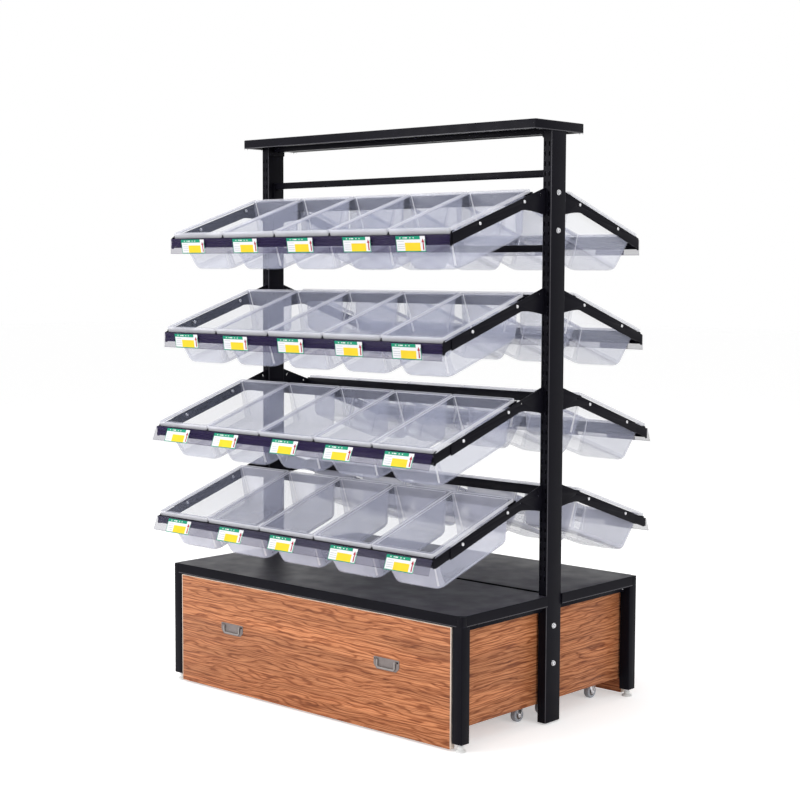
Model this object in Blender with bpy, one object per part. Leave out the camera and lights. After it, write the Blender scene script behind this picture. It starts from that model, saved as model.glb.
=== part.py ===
"""Double-sided produce display rack, about 1.2 m long and 1.73 m high.

Two slotted uprights stand in a welded base and carry four tiers on each side. A tier is a pair of gusset
arms, whose hooks drop into the upright's slots, with a cradle for five clear bins between them. A wheeled
stock cart rolls out of the base on each side.

X runs along the rack, Y from front to rear and Z up. The origin is on the floor under the rack's centre.
A tier's own frame has s down its slope, away from the upright, and h square to it, from the arms' top.
"""

from math import cos, pi, sin, tan

import bmesh
import bpy
from mathutils import Vector

MM = 0.001

# Fits and cuts
SEAT_GAP = 0.3 * MM
RUNNING_GAP = 0.3 * MM
OVERRUN = 4.0 * MM
WELD_DEPTH = 1.0 * MM
FLAT_ANGLE = 0.02 * pi / 180.0

# Overall sizes
RACK_LENGTH = 1200.0 * MM
BASE_DEPTH = 836.0 * MM
DECK_TOP_Z = 378.0 * MM
SHELF_TOP_Z = 1733.6 * MM

# Uprights
UPRIGHT_WIDTH = 30.3 * MM
UPRIGHT_DEPTH = 70.0 * MM
UPRIGHT_WALL = 2.0 * MM
UPRIGHT_INSET = 4.3 * MM
UPRIGHT_FLOOR_GAP = 4.5 * MM
SLOT_PITCH = 28.2 * MM
SLOT_HEIGHT = 14.0 * MM
SLOT_WIDTH = 4.2 * MM
SLOT_ROW_INSET = 8.1 * MM
SLOT_FIRST_Z = 421.5 * MM
SLOT_TOP_MARGIN = 50.0 * MM

# Frame bolts, which pass through the uprights
BOLT_SHANK_RADIUS = 3.8 * MM
BOLT_HOLE_RADIUS = 4.3 * MM
BOLT_HEAD_RADIUS = 6.5 * MM
BOLT_HEAD_HEIGHT = 4.0 * MM
BOLT_SIDES = 6

# Upper and lower tie frames
TIE_STRIP_THICKNESS = 6.0 * MM
TIE_STRIP_WIDTH = 30.0 * MM
TIE_BAR_SIZE = 20.0 * MM
UPPER_TIE_DROP = 135.6 * MM
UPPER_TIE_HEIGHT = 233.0 * MM
UPPER_TIE_BOLT_DROPS = (200.0 * MM, 307.6 * MM)
LOWER_TIE_BAR_Z = (287.7 * MM, 177.2 * MM)

# Top shelf and its beam
SHELF_END_INSET = 1.25 * MM
SHELF_DEPTH = 226.0 * MM
SHELF_SKIRT = 27.0 * MM
SHELF_SHEET = 2.0 * MM
SHELF_RETURN = 14.0 * MM
BEAM_WIDTH = 30.0 * MM
BEAM_DROP = 34.6 * MM
BEAM_PLATE_THICKNESS = 3.0 * MM
BEAM_PLATE_DROP = 12.0 * MM

# Base frame
LEG_SIZE = 35.0 * MM
LEG_BOTTOM_Z = 23.6 * MM
RING_DROP = 2.0 * MM
RING_RAIL_WIDTH = 35.0 * MM
RING_INNER_RAIL_WIDTH = 25.0 * MM
END_RAIL_BOTTOM_Z = 330.0 * MM
END_RAIL_WIDTH = 17.0 * MM
END_RAIL_INSET = 20.0 * MM
CORNER_CLIP = 20.0 * MM

# Deck trays
DECK_SHEET = 1.6 * MM
DECK_SKIRT = 30.0 * MM
DECK_SEAM = 2.0 * MM

# Levelling feet
FOOT_RADIUS = 15.5 * MM
FOOT_HEIGHT = 5.0 * MM
FOOT_STEM_RADIUS = 4.5 * MM
FOOT_STEM_LENGTH = 58.0 * MM
FOOT_NUT_RADIUS = 8.5 * MM
FOOT_NUT_HEIGHT = 6.0 * MM
FOOT_SOCKET_DEPTH = 55.0 * MM
FOOT_SIDES = 12

# Tier arms
TIER_SLOPE = 18.5 * pi / 180.0
TIER_TOP_DROP = 193.6 * MM
LOWEST_TIER_Z = 694.0 * MM
TIER_REACH_AT_TOP = 53.5 * MM
TIER_COUNT = 4
TIER_OFFSETS = (131.0 * MM, 159.0 * MM, 194.0 * MM, 194.0 * MM)
ARM_THICKNESS = 3.0 * MM
ARM_DEPTH = 32.0 * MM
ARM_HEAD_REACH = 60.0 * MM
ARM_HEAD_DEPTH = 69.0 * MM
ARM_ARCH_REACH = 112.0 * MM
ARM_ARCH_DEPTH = 58.0 * MM
ARM_ARCH_END = 150.0 * MM
ARM_REACH = 438.0 * MM
ARM_ARCH_STEPS = 4
HOOK_HEIGHT = 11.0 * MM
HOOK_DROP = 8.0 * MM
HOOK_TIP_DEPTH = 5.0 * MM
HOOK_COUNT = 2
HOOK_FROM_TOP = 1.5 * MM

# Bins
BIN_COUNT = 5
BIN_END_PLAY = 1.05 * MM
BIN_GAP = 1.0 * MM
BIN_LENGTH = 368.0 * MM
BIN_DEPTH = 130.0 * MM
BIN_WALL = 2.0 * MM
BIN_FLANGE = 10.0 * MM
BIN_FLANGE_THICKNESS = 2.5 * MM
BIN_SKIRT = 9.0 * MM
BIN_RISE = 13.0 * MM
BIN_DRAFT = 8.0 * pi / 180.0
BIN_RIM_RADIUS = 8.0 * MM
BIN_FLOOR_RADIUS = 24.0 * MM
BIN_CORNER_STEPS = 1
BIN_BACK_OFFSET = 44.4 * MM

# Cradle rails
RAIL_SHEET = 1.8 * MM
BACK_RAIL_HEIGHT = 25.0 * MM
BACK_RAIL_RISE = 10.0 * MM
BACK_RAIL_THICKNESS = 2.5 * MM
BACK_LEDGE = 7.0 * MM
FRONT_LEDGE_NOSE = 2.0 * MM
FLANGE_SHEET = 2.2 * MM
FLANGE_STEP = 0.6 * MM
FRONT_RAIL_OFFSET = 315.0 * MM
FRONT_RAIL_RISE = 1.0 * MM
FRONT_RAIL_HEIGHT = 30.0 * MM
FRONT_RAIL_LIP = 7.5 * MM
FRONT_RAIL_RECESS = 7.0 * MM
FRONT_RAIL_SHOULDER = 4.0 * MM
FRONT_RAIL_RETURN = 7.0 * MM
TICKET_STRIP_HEIGHT = 45.0 * MM
TICKET_STRIP_THICKNESS = 1.6 * MM
TICKET_TILTS = (0.0, 0.0, 20.0 * pi / 180.0, 20.0 * pi / 180.0)

# Stock carts
PANEL_SIDE_GAP = 3.0 * MM
PANEL_BOTTOM_Z = 6.0 * MM
PANEL_TOP_GAP = 1.0 * MM
PANEL_THICKNESS = 18.0 * MM
PANEL_PROUD = 1.0 * MM
CART_SIDE_INSET = 2.0 * MM
CART_BOTTOM_Z = 55.0 * MM
CART_TOP_Z = 336.0 * MM
CART_BOARD = 16.0 * MM

# Casters
WHEEL_RADIUS = 21.0 * MM
WHEEL_WIDTH = 18.0 * MM
WHEEL_SIDES = 12
AXLE_RADIUS = 4.0 * MM
CASTER_SIDE_INSET = 50.0 * MM
CASTER_BACK_INSET = 42.7 * MM
CASTER_FRONT_INSET = 94.7 * MM
FORK_SHEET = 2.5 * MM
FORK_WIDTH = 24.0 * MM
FORK_PLATE_LENGTH = 56.0 * MM
FORK_BOTTOM_MARGIN = 7.0 * MM

# Flush pulls
PULL_SIDE_INSET = 238.0 * MM
PULL_Z = 203.0 * MM
PULL_WIDTH = 98.0 * MM
PULL_HEIGHT = 35.0 * MM
PULL_CHAMFER = 12.0 * MM
PULL_PLATE = 1.5 * MM
BAIL_WIDTH = 72.0 * MM
BAIL_HEIGHT = 25.0 * MM
BAIL_BAR = 5.0 * MM
BAIL_THICKNESS = 3.0 * MM
BAIL_CORNER = 6.0 * MM
BAIL_PIN_RADIUS = 1.3 * MM
BAIL_TOP_MARGIN = 7.0 * MM
EAR_WIDTH = 4.0 * MM
EAR_SIZE = 6.0 * MM
PIN_SIDES = 6

# What follows from the sizes above
UPRIGHT_OUTER_X = RACK_LENGTH / 2 - UPRIGHT_INSET
UPRIGHT_INNER_X = UPRIGHT_OUTER_X - UPRIGHT_WIDTH
UPRIGHT_FACE_Y = UPRIGHT_DEPTH / 2
SLOT_X = UPRIGHT_INNER_X + SLOT_ROW_INSET
SHELF_LENGTH = RACK_LENGTH - 2 * SHELF_END_INSET
SHELF_UNDERSIDE_Z = SHELF_TOP_Z - SHELF_SHEET
BEAM_BOTTOM_Z = SHELF_TOP_Z - BEAM_DROP
UPPER_TIE_TOP_Z = SHELF_TOP_Z - UPPER_TIE_DROP
UPPER_TIE_BOTTOM_Z = UPPER_TIE_TOP_Z - UPPER_TIE_HEIGHT
UPPER_TIE_BOLT_Z = tuple(SHELF_TOP_Z - drop for drop in UPPER_TIE_BOLT_DROPS)
SLOT_COUNT = round((SHELF_UNDERSIDE_Z - SLOT_TOP_MARGIN - SLOT_FIRST_Z) / SLOT_PITCH)
DECK_UNDERSIDE_Z = DECK_TOP_Z - DECK_SHEET
DECK_SKIRT_Z = DECK_TOP_Z - DECK_SKIRT
RING_BOTTOM_Z = DECK_SKIRT_Z - RING_DROP
PANEL_TOP_Z = RING_BOTTOM_Z - PANEL_TOP_GAP
PANEL_WIDTH = RACK_LENGTH - 2 * (LEG_SIZE + PANEL_SIDE_GAP)
PANEL_FACE_Y = BASE_DEPTH / 2 + PANEL_PROUD
CART_WIDTH = PANEL_WIDTH - 2 * CART_SIDE_INSET
CART_BACK_Y = TIE_STRIP_WIDTH / 2 + SEAT_GAP
CART_FRONT_Y = PANEL_FACE_Y - PANEL_THICKNESS - SEAT_GAP
CASTER_X = CART_WIDTH / 2 - CASTER_SIDE_INSET
CASTER_Y = (CART_BACK_Y + CASTER_BACK_INSET, CART_FRONT_Y - CASTER_FRONT_INSET)
PULL_X = PANEL_WIDTH / 2 - PULL_SIDE_INSET
TIER_TOP_Z = SHELF_TOP_Z - TIER_TOP_DROP
TIER_SLOTS = round((TIER_TOP_Z - LOWEST_TIER_Z) / (TIER_COUNT - 1) / SLOT_PITCH)
TIER_PITCH = TIER_SLOTS * SLOT_PITCH
ARM_HALF = ARM_THICKNESS / 2
FLANGE_OUTER_X = SLOT_X - ARM_HALF
FLANGE_INNER_X = FLANGE_OUTER_X - FLANGE_SHEET
BIN_PITCH = 2 * (FLANGE_INNER_X - BIN_END_PLAY) / BIN_COUNT
LEDGE_H = BIN_RISE - BIN_SKIRT - SEAT_GAP
WHEEL_BORE = AXLE_RADIUS + RUNNING_GAP
SIDES = {"front": -1.0, "rear": 1.0}
ENDS = {"left": -1.0, "right": 1.0}

for leftover in list(bpy.data.objects):
    bpy.data.objects.remove(leftover, do_unlink=True)


def material(name, colour, roughness, metallic=0.0, alpha=1.0):
    made = bpy.data.materials.new(name)
    made.use_nodes = True
    shader = made.node_tree.nodes["Principled BSDF"]
    shader.inputs["Base Color"].default_value = (*colour, 1.0)
    shader.inputs["Roughness"].default_value = roughness
    shader.inputs["Metallic"].default_value = metallic
    shader.inputs["Alpha"].default_value = alpha
    made.diffuse_color = (*colour, alpha)
    return made


POWDER_COAT = material("black powder coat", (0.012, 0.012, 0.016), 0.45, 0.3)
DECK_COAT = material("dark grey satin coat", (0.055, 0.055, 0.062), 0.5, 0.2)
CLEAR_PLASTIC = material("clear bin plastic", (0.80, 0.80, 0.86), 0.1, 0.0, 0.4)
WOOD = material("oak-coloured laminate", (0.50, 0.21, 0.08), 0.55)
ZINC = material("satin zinc", (0.55, 0.55, 0.56), 0.35, 0.9)
WHEEL_PLASTIC = material("grey wheel plastic", (0.45, 0.46, 0.48), 0.4)
FOOT_PLASTIC = material("white foot plastic", (0.85, 0.85, 0.84), 0.45)


# Mesh helpers

def new_object(name, mesh, coat=None):
    made = bpy.data.objects.new(name, mesh)
    bpy.context.collection.objects.link(made)
    if coat:
        mesh.materials.clear()
        mesh.materials.append(coat)
    return made


def mesh_from(bm, name="shape"):
    bmesh.ops.recalc_face_normals(bm, faces=bm.faces)
    mesh = bpy.data.meshes.new(name)
    bm.to_mesh(mesh)
    bm.free()
    return mesh


def loft(rings, closed=False):
    """Bridges rings of equally many points; the first and last are capped, or joined when closed."""
    bm = bmesh.new()
    rows = [[bm.verts.new(point) for point in ring] for ring in rings]
    pairs = list(zip(rows, rows[1:]))
    if closed:
        pairs.append((rows[-1], rows[0]))
    for lower, upper in pairs:
        for i in range(len(lower)):
            j = (i + 1) % len(lower)
            bm.faces.new((lower[i], lower[j], upper[j], upper[i]))
    if not closed:
        bm.faces.new(rows[0])
        bm.faces.new(rows[-1])
    return mesh_from(bm)


def box(low, high):
    (x0, y0, z0), (x1, y1, z1) = low, high
    outline = ((x0, y0), (x1, y0), (x1, y1), (x0, y1))
    return loft([[(x, y, z) for x, y in outline] for z in (z0, z1)])


def prism_x(outline, x0, x1):
    """Extrudes an outline of (y, z) points along X."""
    return loft([[(x, y, z) for y, z in outline] for x in (x0, x1)])


def prism_y(outline, y0, y1):
    """Extrudes an outline of (x, z) points along Y."""
    return loft([[(x, y, z) for x, z in outline] for y in (y0, y1)])


def prism_z(outline, z0, z1):
    """Extrudes an outline of (x, y) points along Z."""
    return loft([[(x, y, z) for x, y in outline] for z in (z0, z1)])


def circle(radius, sides, centre=(0.0, 0.0)):
    return [(centre[0] + radius * sin(2 * pi * i / sides), centre[1] - radius * cos(2 * pi * i / sides))
            for i in range(sides)]


def turned_z(profile, sides, centre):
    """Stacks circles of (radius, z) pairs round a vertical line through centre."""
    return loft([[(x, y, z) for x, y in circle(radius, sides, centre)] for radius, z in profile])


def joined(meshes):
    """One mesh that holds several separate shapes, for use as a cutter."""
    bm = bmesh.new()
    for mesh in meshes:
        bm.from_mesh(mesh)
    return mesh_from(bm)


def combine(base, tools, operation, tidy=True):
    """Applies one Boolean after another to a mesh and returns the result."""
    body = new_object("body", base)
    for tool_mesh in tools:
        tool = new_object("tool", tool_mesh)
        modifier = body.modifiers.new("combine", "BOOLEAN")
        modifier.operation = operation
        modifier.solver = "EXACT"
        modifier.object = tool
        graph = bpy.context.evaluated_depsgraph_get()
        result = bpy.data.meshes.new_from_object(body.evaluated_get(graph))
        body.modifiers.clear()
        body.data = result
        bpy.data.objects.remove(tool)
    result = body.data
    bpy.data.objects.remove(body)
    return without_spare_edges(result) if tidy else result


def without_spare_edges(mesh):
    """Merges the flat faces that a Boolean leaves split."""
    bm = bmesh.new()
    bm.from_mesh(mesh)
    bmesh.ops.dissolve_limit(bm, angle_limit=FLAT_ANGLE, verts=bm.verts, edges=bm.edges)
    bm.to_mesh(mesh)
    bm.free()
    return mesh


def fuse(base, *tools):
    return combine(base, tools, "UNION")


def cut(base, *tools):
    return combine(base, tools, "DIFFERENCE")


def piece(name, mesh, coat, pivot=(0.0, 0.0, 0.0)):
    """A named sub-part, with its origin at the pivot that it moves about or at the rack's origin."""
    offset = Vector(pivot)
    for vertex in mesh.vertices:
        vertex.co -= offset
    mesh.name = name
    made = new_object(name, mesh, coat)
    made.location = offset
    return made


# Uprights

def slot_low_z(index):
    return SLOT_FIRST_Z + index * SLOT_PITCH


def slotted_face(bm, y, ends):
    """One surface of a wall with its slots left out; returns each slot's four corners."""
    slot_x = (SLOT_X - SLOT_WIDTH / 2, SLOT_X + SLOT_WIDTH / 2)
    slots = []
    for i in range(SLOT_COUNT):
        low, high = slot_low_z(i), slot_low_z(i) + SLOT_HEIGHT
        slots.append([bm.verts.new((x, y, z)) for x, z in
                      ((slot_x[0], low), (slot_x[1], low), (slot_x[1], high), (slot_x[0], high))])
    (left_low, left_high), (right_low, right_high) = ends
    bm.faces.new((left_low, right_low, slots[0][1], slots[0][0]))
    bm.faces.new((slots[-1][3], slots[-1][2], right_high, left_high))
    for lower, upper in zip(slots, slots[1:]):
        bm.faces.new((lower[3], lower[2], upper[1], upper[0]))
    for (low_end, high_end), first, second in ((ends[0], 0, 3), (ends[1], 1, 2)):
        column = [slot[k] for slot in slots for k in (first, second)]
        middle = len(column) // 2
        for i, (a, b) in enumerate(zip(column, column[1:])):
            bm.faces.new((a, b, low_end if i < middle else high_end))
        bm.faces.new((low_end, column[middle], high_end))
    return slots


def slotted_tube(bottom, top):
    """A rectangular tube, open at both ends, with a column of slots through its front and rear walls."""
    bm = bmesh.new()
    sections = []
    for inset in (0.0, UPRIGHT_WALL):
        x0, x1 = UPRIGHT_INNER_X + inset, UPRIGHT_OUTER_X - inset
        y0, y1 = -UPRIGHT_FACE_Y + inset, UPRIGHT_FACE_Y - inset
        corners = [[(bm.verts.new((x, y, bottom)), bm.verts.new((x, y, top))) for x in (x0, x1)]
                   for y in (y0, y1)]
        slots = [slotted_face(bm, y, row) for y, row in zip((y0, y1), corners)]
        for column in range(2):
            (a, b), (c, d) = corners[0][column], corners[1][column]
            bm.faces.new((a, b, d, c))
        sections.append((corners, slots))
    (outer, outer_slots), (inner, inner_slots) = sections
    for wall in range(2):
        for near, far in zip(outer_slots[wall], inner_slots[wall]):
            for i in range(4):
                j = (i + 1) % 4
                bm.faces.new((near[i], near[j], far[j], far[i]))
    order = ((0, 0), (0, 1), (1, 1), (1, 0))
    for level in range(2):
        for (row, column), (next_row, next_column) in zip(order, order[1:] + order[:1]):
            bm.faces.new((outer[row][column][level], outer[next_row][next_column][level],
                          inner[next_row][next_column][level], inner[row][column][level]))
    return mesh_from(bm)


def upright(name, end):
    tube = slotted_tube(UPRIGHT_FLOOR_GAP, SHELF_UNDERSIDE_Z - SEAT_GAP)
    holes = [prism_x(circle(BOLT_HOLE_RADIUS, BOLT_SIDES, (0.0, z)),
                     UPRIGHT_INNER_X - OVERRUN, UPRIGHT_OUTER_X + OVERRUN)
             for z in UPPER_TIE_BOLT_Z + LOWER_TIE_BAR_Z]
    return piece(name, mirrored(combine(tube, [joined(holes)], "DIFFERENCE", tidy=False), end), POWDER_COAT)


def mirrored(mesh, end, side=1.0):
    """The mesh as made at the right-hand end and the rear, or its mirror image for the other ends."""
    for vertex in mesh.vertices:
        vertex.co.x *= end
        vertex.co.y *= side
    if end * side < 0:
        mesh.flip_normals()
    return mesh


# Tie frames

def tie_bolt(z):
    """A bolt through the upright, from the tie strip's inner face to the head outside."""
    strip_x = UPRIGHT_INNER_X - SEAT_GAP - TIE_STRIP_THICKNESS / 2
    head_x = UPRIGHT_OUTER_X + SEAT_GAP
    shank = prism_x(circle(BOLT_SHANK_RADIUS, BOLT_SIDES, (0.0, z)), strip_x, head_x + BOLT_HEAD_HEIGHT / 2)
    head = prism_x(circle(BOLT_HEAD_RADIUS, BOLT_SIDES, (0.0, z)), head_x, head_x + BOLT_HEAD_HEIGHT)
    return fuse(shank, head)


def tie_strip(low_z, high_z):
    outer_x = UPRIGHT_INNER_X - SEAT_GAP
    return box((outer_x - TIE_STRIP_THICKNESS, -TIE_STRIP_WIDTH / 2, low_z),
               (outer_x, TIE_STRIP_WIDTH / 2, high_z))


def tie_bar(low_z, high_z):
    reach = UPRIGHT_INNER_X - SEAT_GAP - TIE_STRIP_THICKNESS + WELD_DEPTH
    return box((-reach, -TIE_BAR_SIZE / 2, low_z), (reach, TIE_BAR_SIZE / 2, high_z))


def upper_tie_frame():
    bars = [tie_bar(UPPER_TIE_TOP_Z - TIE_BAR_SIZE, UPPER_TIE_TOP_Z),
            tie_bar(UPPER_TIE_BOTTOM_Z, UPPER_TIE_BOTTOM_Z + TIE_BAR_SIZE)]
    ends = []
    for end in ENDS.values():
        strip = tie_strip(UPPER_TIE_BOTTOM_Z, UPPER_TIE_TOP_Z)
        ends.append(mirrored(fuse(strip, *[tie_bolt(z) for z in UPPER_TIE_BOLT_Z]), end))
    return piece("upper_tie_frame", fuse(bars[0], *ends, bars[1]), POWDER_COAT)


# Top shelf

def top_shelf():
    half_x, half_y = SHELF_LENGTH / 2, SHELF_DEPTH / 2
    inner_x, inner_y = half_x - SHELF_SHEET, half_y - SHELF_SHEET
    mouth_x, mouth_y = half_x - SHELF_RETURN, half_y - SHELF_RETURN
    bottom = SHELF_TOP_Z - SHELF_SKIRT
    hollow = box((-inner_x, -inner_y, bottom + SHELF_SHEET), (inner_x, inner_y, SHELF_UNDERSIDE_Z))
    mouth = box((-mouth_x, -mouth_y, bottom - OVERRUN), (mouth_x, mouth_y, bottom + 2 * SHELF_SHEET))
    for sign in ENDS.values():
        notch_x = sign * (UPRIGHT_OUTER_X + UPRIGHT_INNER_X) / 2
        reach = UPRIGHT_WIDTH / 2 + SEAT_GAP
        notch = box((notch_x - reach, -UPRIGHT_FACE_Y - SEAT_GAP, bottom - OVERRUN),
                    (notch_x + reach, UPRIGHT_FACE_Y + SEAT_GAP, bottom + 2 * SHELF_SHEET))
        mouth = fuse(mouth, notch)
    shell = cut(box((-half_x, -half_y, bottom), (half_x, half_y, SHELF_TOP_Z)), fuse(hollow, mouth))
    return piece("top_shelf", shell, POWDER_COAT)


def shelf_beam():
    outer_x = UPRIGHT_INNER_X - SEAT_GAP
    top = SHELF_UNDERSIDE_Z - SEAT_GAP
    beam = box((-outer_x, -BEAM_WIDTH / 2, BEAM_BOTTOM_Z), (outer_x, BEAM_WIDTH / 2, top))
    plate_low = (outer_x - BEAM_PLATE_THICKNESS, -UPRIGHT_FACE_Y, BEAM_BOTTOM_Z - BEAM_PLATE_DROP)
    plates = [mirrored(box(plate_low, (outer_x, UPRIGHT_FACE_Y, top)), end) for end in ENDS.values()]
    return piece("shelf_beam", fuse(beam, *plates), POWDER_COAT)


# Base frame and deck

def clipped_half(inset):
    """The outline of the base's rear half, in plan, moved in by the inset, with clipped outer corners."""
    x, y = RACK_LENGTH / 2 - inset, BASE_DEPTH / 2 - inset
    seam = DECK_SEAM / 2 + inset
    clip = CORNER_CLIP - 2 * inset * (1 - cos(pi / 4))
    return [(-x, seam), (x, seam), (x, y - clip), (x - clip, y), (-x + clip, y), (-x, y - clip)]


def base_half():
    """One half of the base, as it stands at the rear: a rail ring, two legs and the end rails."""
    inset = DECK_SHEET + SEAT_GAP
    top = DECK_UNDERSIDE_Z - SEAT_GAP
    near_y = UPRIGHT_FACE_Y + SEAT_GAP
    outer_x, outer_y = RACK_LENGTH / 2, BASE_DEPTH / 2
    window_x = outer_x - RING_RAIL_WIDTH - inset
    window = box((-window_x, near_y + RING_INNER_RAIL_WIDTH, RING_BOTTOM_Z - OVERRUN),
                 (window_x, outer_y - RING_RAIL_WIDTH - inset, top + OVERRUN))
    seam_side = box((-outer_x, -near_y, RING_BOTTOM_Z - OVERRUN), (outer_x, near_y, top + OVERRUN))
    shape = cut(prism_z(clipped_half(inset), RING_BOTTOM_Z, top), window, seam_side)
    half = LEG_SIZE / 2
    for sign in ENDS.values():
        leg_x, leg_y = sign * (outer_x - half), outer_y - half
        leg = cut(
            box((leg_x - half, leg_y - half, LEG_BOTTOM_Z),
                (leg_x + half, leg_y + half, DECK_SKIRT_Z - SEAT_GAP)),
            prism_z(circle(FOOT_STEM_RADIUS + RUNNING_GAP, PIN_SIDES, (leg_x, leg_y)),
                    LEG_BOTTOM_Z - OVERRUN, LEG_BOTTOM_Z + FOOT_SOCKET_DEPTH))
        rail_x = outer_x - END_RAIL_INSET
        low_x, high_x = sorted((sign * rail_x, sign * (rail_x - END_RAIL_WIDTH)))
        rail = box((low_x, near_y, END_RAIL_BOTTOM_Z),
                   (high_x, outer_y - LEG_SIZE + WELD_DEPTH, RING_BOTTOM_Z + WELD_DEPTH))
        shape = fuse(shape, leg, rail)
    return shape


def base_frame():
    bar_half = TIE_BAR_SIZE / 2
    strip_low = LOWER_TIE_BAR_Z[-1] - bar_half
    top = DECK_UNDERSIDE_Z - SEAT_GAP
    outer_x = UPRIGHT_INNER_X - SEAT_GAP
    joint_y = UPRIGHT_FACE_Y + SEAT_GAP + RING_INNER_RAIL_WIDTH / 2
    shape = fuse(base_half(), mirrored(base_half(), 1.0, SIDES["front"]))
    for end in ENDS.values():
        link = box((outer_x - TIE_STRIP_THICKNESS, -joint_y, DECK_SKIRT_Z),
                   (outer_x, joint_y, top - WELD_DEPTH))
        strip = tie_strip(strip_low, DECK_SKIRT_Z + WELD_DEPTH)
        bolts = [tie_bolt(z) for z in LOWER_TIE_BAR_Z]
        shape = fuse(shape, mirrored(fuse(link, strip, *bolts), end))
    bars = [tie_bar(z - bar_half, z + bar_half) for z in LOWER_TIE_BAR_Z]
    return piece("base_frame", fuse(shape, *bars), POWDER_COAT)


def deck_tray(side_name, side):
    shell = cut(prism_z(clipped_half(0.0), DECK_SKIRT_Z, DECK_TOP_Z),
                prism_z(clipped_half(DECK_SHEET), DECK_SKIRT_Z - OVERRUN, DECK_UNDERSIDE_Z))
    reach = UPRIGHT_FACE_Y + SEAT_GAP
    below = box((-RACK_LENGTH, -reach, DECK_SKIRT_Z - OVERRUN), (RACK_LENGTH, reach, DECK_UNDERSIDE_Z))
    notches = [mirrored(box((UPRIGHT_INNER_X - SEAT_GAP, -reach, DECK_SKIRT_Z - OVERRUN),
                            (RACK_LENGTH, reach, DECK_TOP_Z + OVERRUN)), end) for end in ENDS.values()]
    return piece("deck_" + side_name, mirrored(cut(shell, below, *notches), 1.0, side), DECK_COAT)


def levelling_foot(name, end, side):
    centre = (end * (RACK_LENGTH / 2 - LEG_SIZE / 2), side * (BASE_DEPTH / 2 - LEG_SIZE / 2))
    nut_top = LEG_BOTTOM_Z - SEAT_GAP
    nut_low = nut_top - FOOT_NUT_HEIGHT
    stem_top = FOOT_HEIGHT + FOOT_STEM_LENGTH
    pad = turned_z([(FOOT_RADIUS, 0.0), (FOOT_RADIUS, FOOT_HEIGHT)], FOOT_SIDES, centre)
    stem = turned_z([(FOOT_STEM_RADIUS, FOOT_HEIGHT / 2), (FOOT_STEM_RADIUS, stem_top)], PIN_SIDES, centre)
    nut = turned_z([(FOOT_NUT_RADIUS, nut_low), (FOOT_NUT_RADIUS, nut_top)], PIN_SIDES, centre)
    return piece(name, fuse(pad, stem, nut), FOOT_PLASTIC, (*centre, LEG_BOTTOM_Z))


# Tiers

def tier_line(tier, reach):
    """Height of the arms' top edge at a distance from the rack's middle plane."""
    return TIER_TOP_Z - tier * TIER_PITCH - (reach - TIER_REACH_AT_TOP) * tan(TIER_SLOPE)


def tier_point(tier, s, h):
    """The (reach, z) place of a point of the tier's own frame."""
    reach = TIER_OFFSETS[tier] + s * cos(TIER_SLOPE) + h * sin(TIER_SLOPE)
    z = tier_line(tier, TIER_OFFSETS[tier]) - s * sin(TIER_SLOPE) + h * cos(TIER_SLOPE)
    return reach, z


def hook_outline(tier, index):
    """A hook that passes the upright's wall and turns down behind it, in (reach, z)."""
    head_top = tier_line(tier, ARM_HEAD_REACH)
    top = hook_slot_top(head_top, index) - SEAT_GAP
    root = UPRIGHT_FACE_Y + SEAT_GAP + WELD_DEPTH
    behind = UPRIGHT_FACE_Y - UPRIGHT_WALL - SEAT_GAP
    tip = behind - HOOK_TIP_DEPTH
    low = top - HOOK_HEIGHT
    tip_low = low - HOOK_DROP
    return [(root, top), (tip, top), (tip, tip_low), (behind, tip_low), (behind, low), (root, low)]


def hook_slot_top(head_top, index):
    """The top of the highest slot that lies under the head's top by at least the hook's margin."""
    first = int((head_top - HOOK_FROM_TOP - SLOT_HEIGHT - SLOT_FIRST_Z) / SLOT_PITCH)
    return slot_low_z(first - index) + SLOT_HEIGHT


def arm_outline(tier):
    """The gusset arm in (reach, z): a tall head at the upright, an arch under it and a straight beam."""
    head_top = tier_line(tier, ARM_HEAD_REACH)
    face = UPRIGHT_FACE_Y + SEAT_GAP
    arch_end = Vector((ARM_ARCH_END, tier_line(tier, ARM_ARCH_END) - ARM_DEPTH))
    arch_start = Vector((face, head_top - ARM_HEAD_DEPTH))
    peak = Vector((ARM_ARCH_REACH, head_top - ARM_ARCH_DEPTH))
    pull = 2 * peak - (arch_start + arch_end) / 2
    arch = []
    for i in range(ARM_ARCH_STEPS + 1):
        t = i / ARM_ARCH_STEPS
        arch.append(tuple(arch_end * (1 - t) ** 2 + pull * 2 * t * (1 - t) + arch_start * t ** 2))
    end_top = tier_line(tier, ARM_REACH)
    return [(face, head_top), (ARM_HEAD_REACH, head_top), (ARM_REACH, end_top),
            (ARM_REACH, end_top - ARM_DEPTH), *arch]


def tier_arm(tier):
    sides = (SLOT_X - ARM_HALF, SLOT_X + ARM_HALF)
    hooks = [prism_x(hook_outline(tier, index), *sides) for index in range(HOOK_COUNT)]
    return fuse(prism_x(arm_outline(tier), *sides), *hooks)


def bent_strip(path, thickness):
    """The closed outline of a sheet bent along an open path, with mitred corners."""
    points = [Vector(p) for p in path]
    other = []
    for i, point in enumerate(points):
        before = (point - points[max(i - 1, 0)]).normalized()
        after = (points[min(i + 1, len(points) - 1)] - point).normalized()
        if i == 0:
            before = after
        if i == len(points) - 1:
            after = before
        normal = (before + after).normalized().orthogonal()
        across = before.orthogonal()
        other.append(tuple(point - normal * (thickness / normal.dot(across))))
    return [tuple(p) for p in points] + other[::-1]


def rail_origin(tier):
    """The front rail's outer top edge in (reach, z)."""
    reach = TIER_OFFSETS[tier] + FRONT_RAIL_OFFSET
    return reach, tier_line(tier, reach) + FRONT_RAIL_RISE


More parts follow.
